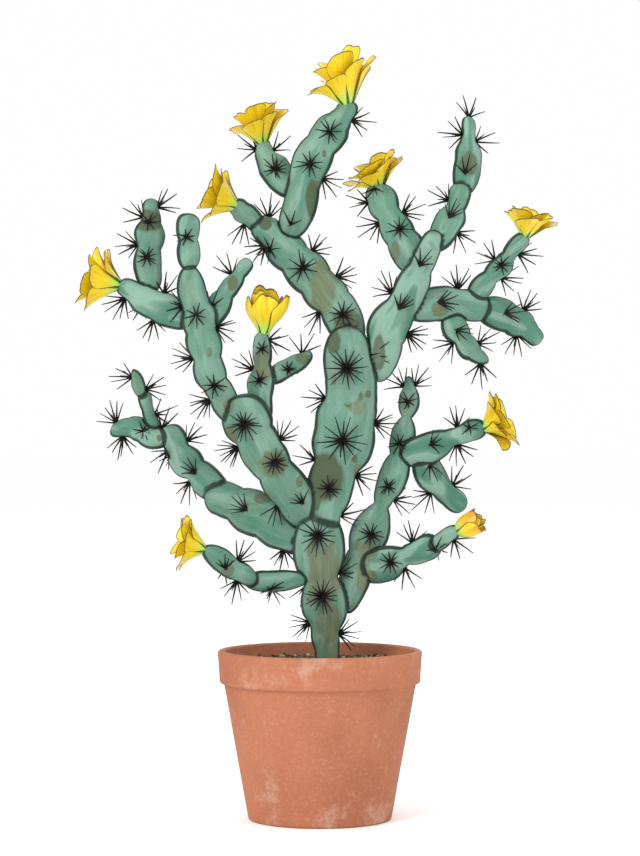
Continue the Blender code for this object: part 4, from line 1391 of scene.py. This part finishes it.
def build_receptacle(name, seat, habit, finishes):
    """The green foot that holds the petals on the pad."""
    wide = max(LEAST_RECEPTACLE, habit["outer"][0][0] * seat.radius + RECEPTACLE_MARGIN)
    points, faces = revolved([(share * wide, height) for share, height in RECEPTACLE_SECTION], 28)
    angles = np.arctan2(points[:, 1], points[:, 0])
    points[:, :2] *= (1 + RIB_DEPTH * np.cos(RECEPTACLE_RIBS * angles))[:, None]
    piece = new_piece(name + "_receptacle", seat.carry(points), faces, material=finishes["receptacle"])
    settle(piece, "petal")


# Each stamen stands a golden angle on from the one before it, in radians.
GOLDEN_ANGLE = 2.39996
STAMENS = 60
WIDE_RADIUS = 0.02


def build_stamens(name, seat, radius, dice, finishes):
    """A crowd of threads with anthers round the style."""
    needles = []
    for index in range(STAMENS):
        angle = index * GOLDEN_ANGLE
        ring = radius * (0.07 + 0.16 * math.sqrt((index + 0.5) / STAMENS))
        lean = 0.12 + 0.55 * (index / STAMENS) + dice.uniform(-0.1, 0.1)
        lean *= min(1.0, radius / WIDE_RADIUS)
        way = Vector((math.cos(angle) * lean, math.sin(angle) * lean, 1.0)).normalized()
        place = Vector((ring * math.cos(angle), ring * math.sin(angle), seat.depth * 0.16))
        reach = seat.depth * dice.uniform(0.42, 0.62)
        needles.append((seat.turn @ place + seat.base, seat.turn @ way, reach, 1.0))
    carrier = needle_points(name + "_stamen_points", needles, dice)
    grown = finishes["stamen_growth"].grow(carrier, name + "_stamens", Material=finishes["stamen"])
    settle(grown, "stamen")


STYLE_SHARE = 0.80
STIGMA_LOBES = 6
LOBE_SECTION = ((0, -0.0006), (0.0007, 0.0), (0.0010, 0.0018), (0.0007, 0.0034), (0, 0.0040))


def build_style(name, seat, finishes):
    """A stout column with a lobed stigma."""
    tall = seat.depth * STYLE_SHARE
    column = [(0, 0.002), (0.0012, 0.0022), (0.0013, tall * 0.5), (0.0011, tall - 0.002), (0, tall)]
    points, faces = revolved(column, 12)
    parts, polygons = list(points), list(faces)
    for lobe in range(STIGMA_LOBES):
        angle = math.tau * lobe / STIGMA_LOBES
        way = Vector((math.cos(angle) * 0.75, math.sin(angle) * 0.75, 0.65)).normalized()
        lobe_points, lobe_faces = revolved(LOBE_SECTION, 8)
        turned = lobe_points @ np.array(way.to_track_quat("Z", "Y").to_matrix()).T
        polygons += [tuple(corner + len(parts) for corner in face) for face in lobe_faces]
        parts += list(turned + (0, 0, tall - 0.001))
    piece = new_piece(name + "_style", seat.carry(parts), polygons, material=finishes["receptacle"])
    settle(piece, "stamen")


def stamen_growth():
    """A thread with an anther on its end at each point."""
    tree = Growth("stamens", {
        "Thread Radius": ("Float", 0.00016), "Anther Radius": ("Float", 0.00062),
        "Material": ("Material", None),
    })
    thread = tree.node("GeometryNodeMeshCylinder", {"fill_type": "TRIANGLE_FAN"}, {
        "Vertices": 4, "Radius": tree.given("Thread Radius"), "Depth": 1.0,
    })
    raised = tree.node("GeometryNodeTransform", inputs={"Geometry": thread, "Translation": (0, 0, 0.5)})
    turned = tree.headed()
    reach = tree.named("reach", "FLOAT")
    size = tree.node("ShaderNodeCombineXYZ", inputs={0: 1.0, 1: 1.0, 2: reach})
    threads = tree.copies(tree.given("Geometry"), raised, turned, size)
    ball = tree.node("GeometryNodeMeshIcoSphere", inputs={
        "Radius": tree.given("Anther Radius"), "Subdivisions": 1,
    })
    offset = tree.node("ShaderNodeVectorMath", {"operation": "SCALE"}, {
        0: tree.named("heading", "FLOAT_VECTOR"), "Scale": reach,
    })
    moved = tree.node("GeometryNodeSetPosition", inputs={
        "Geometry": tree.given("Geometry"), "Offset": offset,
    })
    anthers = tree.copies(moved, ball, turned, (1.0, 1.0, 1.9))
    joined = tree.tree.nodes.new("GeometryNodeJoinGeometry")
    for part in (anthers, threads):
        tree.tree.links.new(part.socket, joined.inputs[0])
    tree.finish(Wire(tree, joined.outputs[0]), tree.given("Material"))
    return tree


def petal_finish(colours):
    """Satin yellow with streaks along the petal, a green foot, an orange tinge and a dark edge."""
    petal = Finish("petal")
    side, along, edge = petal.parts(petal.attribute("petal", "Vector"))
    tinge, offset = petal.parts(petal.attribute("tone", "Vector"))[:2]
    place = petal.node("ShaderNodeCombineXYZ", inputs={0: side, 1: along * 0.22, 2: offset})
    streaks = petal.noise(place, 6.5, 4.0, 0.6, 0.4)
    veins = petal.noise(place, 22.0, 2.0, 0.5)
    base = petal.mix(streaks.above(0.42, 0.68) * 0.8, colours.yellow, colours.gold)
    rib = (1.0 - (side * side * 9.0).clamped()) * along.above(0.25, 0.8)
    blush = (streaks.above(0.48, 0.70) * along.above(0.35, 0.95) * 0.8 + rib * 0.30) * tinge
    base = petal.mix(blush.clamped() * 0.95, base, colours.orange)
    base = petal.mix(tinge.above(1.2, 3.0) * (0.25 + streaks * 0.6), base, colours.orange)
    foot = 1.0 - (along + (streaks - 0.5) * 0.25).above(0.12, 0.50)
    base = petal.mix(foot * 0.85, base, colours.green)
    base = petal.mix(veins.above(0.55, 0.7) * 0.25, base, colours.gold)
    rim = 1.0 - edge.above(0.95, 1.45)
    base = petal.mix(rim * 0.85, base, colours.edge)
    petal.set(
        base_color=base, roughness=0.42 + streaks * 0.15, coat_weight=0.06, specular_ior_level=0.4,
        normal=petal.bump(veins * 0.5 + streaks * 0.5, 0.0005, 0.5),
    )
    return petal.material


def receptacle_finish(colours):
    foot = Finish("receptacle")
    mottle = foot.noise(foot.object_place(), 300.0, 3.0)
    base = foot.mix(mottle.above(0.4, 0.65), (0.115, 0.260, 0.075), colours.green)
    foot.set(base_color=base, roughness=0.5, normal=foot.bump(mottle, 0.0004, 0.5))
    return foot.material


def stamen_finish():
    thread = Finish("stamen")
    dust = thread.noise(thread.object_place(), 900.0, 2.0)
    base = thread.mix(dust.above(0.4, 0.65), (0.78, 0.50, 0.05), (0.86, 0.68, 0.20))
    thread.set(base_color=base, roughness=0.75, normal=thread.bump(dust, 0.0003, 0.4))
    return thread.material


# ------------------------------------------------------------------ pot and soil

POT_SEGMENTS = 160
POT_FOOT, POT_WALL, POT_FLOOR = 0.070, 0.0075, 0.010
RIM_BAND, RIM_STEP = 0.032, 0.006
LIP_INNER, LIP_OUTER = 0.0030, 0.0032
DRAIN_HOLES, DRAIN_RADIUS, DRAIN_RING = 3, 0.007, 0.036


def pot_profile():
    """(radius, height) of the pot's section, from the middle of its floor over the rim to the foot."""
    low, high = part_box("pot")
    height, rim = high.z - low.z, (high.x - low.x) / 2
    wall, floor = POT_WALL, POT_FLOOR
    slope = (rim - RIM_STEP - POT_FOOT) / (height - RIM_BAND)

    def outer(z):
        return POT_FOOT + slope * z

    def rounded(corner, radius, start, end, pieces=6):
        turns = [math.radians(start + (end - start) * part / pieces) for part in range(pieces + 1)]
        return [(corner[0] + radius * math.cos(a), corner[1] + radius * math.sin(a)) for a in turns]

    inside = [(outer(z) - wall, z) for z in np.linspace(floor + 0.004, height - 0.004, 14)]
    lip_in = (outer(height) - wall + LIP_OUTER, height - LIP_INNER)
    lip_out = (rim - LIP_OUTER, height - LIP_OUTER)
    band_low = height - RIM_BAND
    band_face = [
        (rim - 0.0005 - 0.0012 * share, height - 0.008 - (RIM_BAND - 0.014) * share)
        for share in (0, 0.35, 0.7, 1)
    ]
    return [
        (0, floor), (0.03, floor), (outer(floor) - wall - 0.004, floor),
        (outer(floor) - wall - 0.0012, floor + 0.0012), *inside[:-1],
        *rounded(lip_in, LIP_INNER, 180, 95), *rounded(lip_out, LIP_OUTER, 90, 5), *band_face,
        *rounded((rim - 0.0042, band_low + 0.0026), 0.0026, 0, -90),
        (outer(band_low) + 0.0008, band_low + 0.0001), (outer(band_low), band_low - 0.0012),
        *[(outer(z), z) for z in np.linspace(band_low - 0.006, 0.006, 16)],
        *rounded((outer(0.003) - 0.003, 0.003), 0.003, -10, -90), (0.045, 0.0), (0, 0.0),
    ]


def build_pot(settings):
    profile = pot_profile()
    points, faces = revolved(profile, POT_SEGMENTS)
    outward = np.array([noise.noise(Vector(point) * 14.0) for point in points]) * 0.0004
    rows = (points[:, 2] > 0.004) & (np.hypot(points[:, 0], points[:, 1]) > 0.05)
    points[:, :2] *= (1 + outward * rows / 0.1)[:, None]
    body = new_piece("pot_body", points, [face[::-1] for face in faces], material=clay_finish(settings))
    cutters = []
    for index in range(DRAIN_HOLES):
        angle = math.tau * index / DRAIN_HOLES + math.pi / 2
        middle = (DRAIN_RING * math.cos(angle), DRAIN_RING * math.sin(angle), POT_FLOOR / 2)
        bpy.ops.mesh.primitive_cylinder_add(vertices=40, radius=DRAIN_RADIUS, depth=0.04, location=middle)
        cutter = bpy.context.object
        cut = body.modifiers.new(f"drain_{index}", "BOOLEAN")
        cut.operation = "DIFFERENCE"
        cut.object = cutter
        cutters.append(cutter)
    piece = baked(body, "clay_pot")
    for helper in (body, *cutters):
        bpy.data.objects.remove(helper)
    piece.data.shade_smooth()
    piece.data.set_sharp_from_angle(angle=math.radians(50))
    settle(piece, "terracotta", "pot")


def clay_finish(colours):
    clay = Finish("terracotta")
    place = clay.object_place()
    cloud = clay.noise(place, 9.0, 5.0, 0.6)
    grain = clay.noise(place, 420.0, 4.0, 0.65)
    specks = clay.cells(place, 420.0)
    turned = clay.noise(clay.stretched(place, (0.6, 0.6, 30.0)), 9.0, 2.0)
    height = clay.parts(place)[2]
    base = clay.mix(cloud.above(0.35, 0.7) * 0.7, colours.clay, colours.dark_clay)
    base = clay.mix(grain.above(0.48, 0.76) * 0.20, base, colours.bloom)
    low = (1.0 - height.above(0.0, 0.05)) * 0.8
    high = height.above(0.128, 0.140) * 0.30
    salts = (clay.noise(place, 26.0, 6.0, 0.7) + low * 0.14 + high * 0.12).above(0.58, 0.76)
    base = clay.mix(salts * 0.35, base, colours.bloom)
    base = clay.mix(specks.above(0.16, 0.06) * 0.5, base, (0.16, 0.06, 0.035))
    clay.set(
        base_color=base, roughness=0.80 + grain * 0.12, specular_ior_level=0.3,
        normal=clay.bump(grain * 0.5 + turned * 0.9 + specks * 0.15, 0.0007, 0.6),
    )
    return clay.material


def soil_height(x, y):
    """Height of the soil's surface above its level, in metres."""
    spot = Vector((x, y, 0))
    lumps = 0.0022 * noise.noise(spot * 55.0) + 0.0010 * noise.noise(spot * 170.0)
    heap = 0.0030 * math.exp(-((x - 0.007) ** 2 + y**2) / 0.0006)
    return lumps + heap


SOIL_RINGS, SOIL_SEGMENTS = 70, 180
GRIT_DENSITY, GRAVEL_DENSITY = 105000.0, 9000.0


def build_soil(settings):
    low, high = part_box("soil")
    level = high.z - 0.003
    radius = (high.x - low.x) / 2 + 0.0002
    foot = radius - 0.026
    angles = np.linspace(0, math.tau, SOIL_SEGMENTS, endpoint=False)
    points = []
    for ring in range(1, SOIL_RINGS + 1):
        reach = radius * ring / SOIL_RINGS
        for angle in angles:
            x, y = reach * math.cos(angle), reach * math.sin(angle)
            points.append((x, y, level + soil_height(x, y)))
    points += [(foot * math.cos(angle), foot * math.sin(angle), low.z) for angle in angles]
    points += [(0, 0, level + soil_height(0, 0)), (0, 0, low.z)]
    faces = tube_faces(SOIL_RINGS + 1, SOIL_SEGMENTS)
    earth = soil_finish(settings)
    piece = new_piece("soil_bed", points, faces, material=earth)
    settle(piece, "soil", "soil")
    top_count = SOIL_RINGS * SOIL_SEGMENTS
    top = grid_faces(SOIL_RINGS, SOIL_SEGMENTS)
    stones = stone_finish()
    tree = grit_growth()
    for name, size, density, seed, detail in (
        ("soil_grit", settings.grit_size, GRIT_DENSITY, settings.seed, 1),
        ("soil_gravel", settings.gravel_size, GRAVEL_DENSITY, settings.seed + 1, 2),
    ):
        carrier = new_piece(name + "_bed", points[:top_count], top)
        grown = tree.grow(carrier, name, **{
            "Density": density, "Size": size, "Seed": seed, "Detail": detail, "Material": stones,
        })
        settle(grown, "soil")


def grit_growth():
    """Rough stones strewn over a surface, each turned and sized at random."""
    tree = Growth("grit", {
        "Density": ("Float", 20000.0), "Size": ("Float", 0.001), "Seed": ("Int", 0), "Detail": ("Int", 1),
        "Material": ("Material", None),
    })
    seed = tree.given("Seed")
    points = tree.node("GeometryNodeDistributePointsOnFaces", inputs={
        "Mesh": tree.given("Geometry"), "Density": tree.given("Density"), "Seed": seed,
    })
    stone = tree.node("GeometryNodeMeshIcoSphere", inputs={
        "Radius": tree.given("Size"), "Subdivisions": tree.given("Detail"),
    })
    turn = tree.node("FunctionNodeRandomValue", {"data_type": "FLOAT_VECTOR"}, {
        "Min": (0, 0, 0), "Max": (math.tau, math.tau, math.tau), "Seed": seed,
    })
    size = tree.node("FunctionNodeRandomValue", {"data_type": "FLOAT_VECTOR"}, {
        "Min": (0.5, 0.4, 0.3), "Max": (1.5, 1.3, 1.0), "Seed": seed + 7,
    })
    placed = tree.copies(points, stone, turn, size)
    pick = tree.node("FunctionNodeRandomValue", {"data_type": "FLOAT"}, {"Seed": seed + 13}, output=1)
    marked = tree.marked(placed, "pick", pick, "INSTANCE")
    shaped = tree.roughened(marked, 420.0, tree.given("Size") * 1.6)
    tree.finish(shaped, tree.given("Material"))
    return tree


def soil_finish(colours):
    earth = Finish("soil")
    place = earth.object_place()
    lumps = earth.noise(place, 160.0, 5.0, 0.7)
    crumbs = earth.noise(place, 700.0, 3.0, 0.6)
    base = earth.mix(lumps.above(0.4, 0.65), colours.earth, (0.085, 0.052, 0.030))
    base = earth.mix(crumbs.above(0.6, 0.7) * 0.6, base, (0.17, 0.12, 0.08))
    earth.set(base_color=base, roughness=0.96, specular_ior_level=0.15,
              normal=earth.bump(lumps * 0.6 + crumbs * 0.6, 0.0016, 0.9))
    return earth.material


def stone_finish():
    stone = Finish("grit")
    place = stone.object_place()
    pick = stone.attribute("pick")
    tone = stone.ramp(pick, [
        (0.0, (0.030, 0.018, 0.011)), (0.35, (0.085, 0.050, 0.028)), (0.6, (0.150, 0.100, 0.062)),
        (0.78, (0.240, 0.190, 0.140)), (0.9, (0.420, 0.380, 0.320)), (1.0, (0.640, 0.620, 0.580)),
    ])
    grain = stone.noise(place, 900.0, 3.0, 0.6)
    base = stone.mix(grain.above(0.4, 0.7) * 0.4, tone, (0.05, 0.03, 0.02))
    stone.set(base_color=base, roughness=0.9, specular_ior_level=0.25,
              normal=stone.bump(grain, 0.0005, 0.6))
    return stone.material


# ------------------------------------------------------------------ stage


def area_light(name, place, target, size, watts, colour):
    light = bpy.data.lights.new(name, "AREA")
    light.shape = "DISK"
    light.size = size
    light.energy = watts
    light.color = colour
    lamp = bpy.data.objects.new(name, light)
    lamp.location = place
    lamp.rotation_euler = (Vector(target) - Vector(place)).to_track_quat("-Z", "Y").to_euler()
    bpy.context.scene.collection.objects.link(lamp)


# Each light: name, place, size, watts and colour. All of them point at the plant's middle.
LIGHTS = (
    ("key", (-1.5, -2.2, 2.1), 1.4, 52.0, (1.0, 0.985, 0.96)),
    ("fill", (2.1, -1.8, 1.2), 2.0, 12.0, (0.96, 0.98, 1.0)),
    ("back", (0.6, 2.2, 2.0), 1.6, 20.0, (1.0, 1.0, 1.0)),
)
PLANT_MIDDLE = (0, 0, 0.38)
FLOOR_REACH = 30.0


def build_stage(settings):
    floor = Finish("stage_floor")
    floor.set(base_color=(*settings.floor, 1.0), roughness=1.0, specular_ior_level=0.0)
    corners = [(x * FLOOR_REACH, y * FLOOR_REACH, 0) for x, y in ((-1, -1), (1, -1), (1, 1), (-1, 1))]
    new_piece("studio_floor", corners, [(0, 1, 2, 3)], material=floor.material)
    for name, place, size, watts, colour in LIGHTS:
        area_light(name, place, PLANT_MIDDLE, size, watts, colour)
    scene = bpy.context.scene
    scene.world = scene.world or bpy.data.worlds.new("studio")
    scene.world.use_nodes = True
    sky = scene.world.node_tree.nodes["Background"]
    sky.inputs["Color"].default_value = (*settings.floor, 1.0)
    sky.inputs["Strength"].default_value = 1.0
    scene.view_settings.view_transform = "Standard"
    camera = bpy.data.cameras.new("camera")
    camera.lens = settings.lens
    camera.clip_end = 60.0
    eye = bpy.data.objects.new("camera", camera)
    eye.location = (0, -settings.distance, settings.eye_height)
    eye.rotation_euler = (math.pi / 2, 0, 0)
    scene.collection.objects.link(eye)
    scene.camera = eye


# ------------------------------------------------------------------ operators


class CACTUS_OT_plant(bpy.types.Operator):
    """Build the pads, and the areoles and spines that stand on them"""

    bl_idname = "cactus.plant"
    bl_label = "Pads and spines"

    def execute(self, context):
        skin = context.scene.cactus_skin
        spines = context.scene.cactus_spines
        material = skin_finish(skin)
        pads = [Pad(name, pad, skin, spines) for name, pad in PADS.items()]
        for pad in pads:
            pad.paint(pads, material)
        build_spines([areole for pad in pads for areole in pad.areoles], spines)
        return {"FINISHED"}


class CACTUS_OT_flowers(bpy.types.Operator):
    """Build the flowers: petals, receptacles, stamens and styles"""

    bl_idname = "cactus.flowers"
    bl_label = "Flowers"

    def execute(self, context):
        settings = context.scene.cactus_flowers
        finishes = {
            "petal": petal_finish(settings), "receptacle": receptacle_finish(settings),
            "stamen": stamen_finish(), "stamen_growth": stamen_growth(),
        }
        for name, flower in FLOWERS.items():
            build_flower(name, flower, settings, finishes)
        return {"FINISHED"}


class CACTUS_OT_pot(bpy.types.Operator):
    """Build the clay pot"""

    bl_idname = "cactus.pot"
    bl_label = "Pot"

    def execute(self, context):
        build_pot(context.scene.cactus_pot)
        return {"FINISHED"}


class CACTUS_OT_soil(bpy.types.Operator):
    """Build the soil with its grit and gravel"""

    bl_idname = "cactus.soil"
    bl_label = "Soil"

    def execute(self, context):
        build_soil(context.scene.cactus_pot)
        return {"FINISHED"}


class CACTUS_OT_stage(bpy.types.Operator):
    """Set up the floor, the lights and the camera"""

    bl_idname = "cactus.stage"
    bl_label = "Stage"

    def execute(self, context):
        build_stage(context.scene.cactus_stage)
        return {"FINISHED"}


class CACTUS_PT_panel(bpy.types.Panel):
    """Lists the parts of the cactus that can be built"""

    bl_label = "Potted paddle cactus"
    bl_idname = "CACTUS_PT_panel"
    bl_space_type = "VIEW_3D"
    bl_region_type = "UI"
    bl_category = "Cactus"

    def draw(self, context):
        for operator in OPERATORS:
            self.layout.operator(operator.bl_idname)


OPERATORS = (CACTUS_OT_stage, CACTUS_OT_plant, CACTUS_OT_flowers, CACTUS_OT_pot, CACTUS_OT_soil)
SETTINGS = {
    "cactus_skin": CactusSkinSettings,
    "cactus_spines": CactusSpineSettings,
    "cactus_flowers": CactusFlowerSettings,
    "cactus_pot": CactusPotSettings,
    "cactus_stage": CactusStageSettings,
}
CLASSES = (*SETTINGS.values(), *OPERATORS, CACTUS_PT_panel)


def register():
    for kind in CLASSES:
        bpy.utils.register_class(kind)
    for name, kind in SETTINGS.items():
        setattr(bpy.types.Scene, name, bpy.props.PointerProperty(type=kind))


def unregister():
    for name in SETTINGS:
        delattr(bpy.types.Scene, name)
    for kind in reversed(CLASSES):
        bpy.utils.unregister_class(kind)


def main():
    register()
    bpy.ops.cactus.stage()
    bpy.ops.cactus.plant()
    bpy.ops.cactus.flowers()
    bpy.ops.cactus.pot()
    bpy.ops.cactus.soil()


if __name__ == "__main__":
    main()
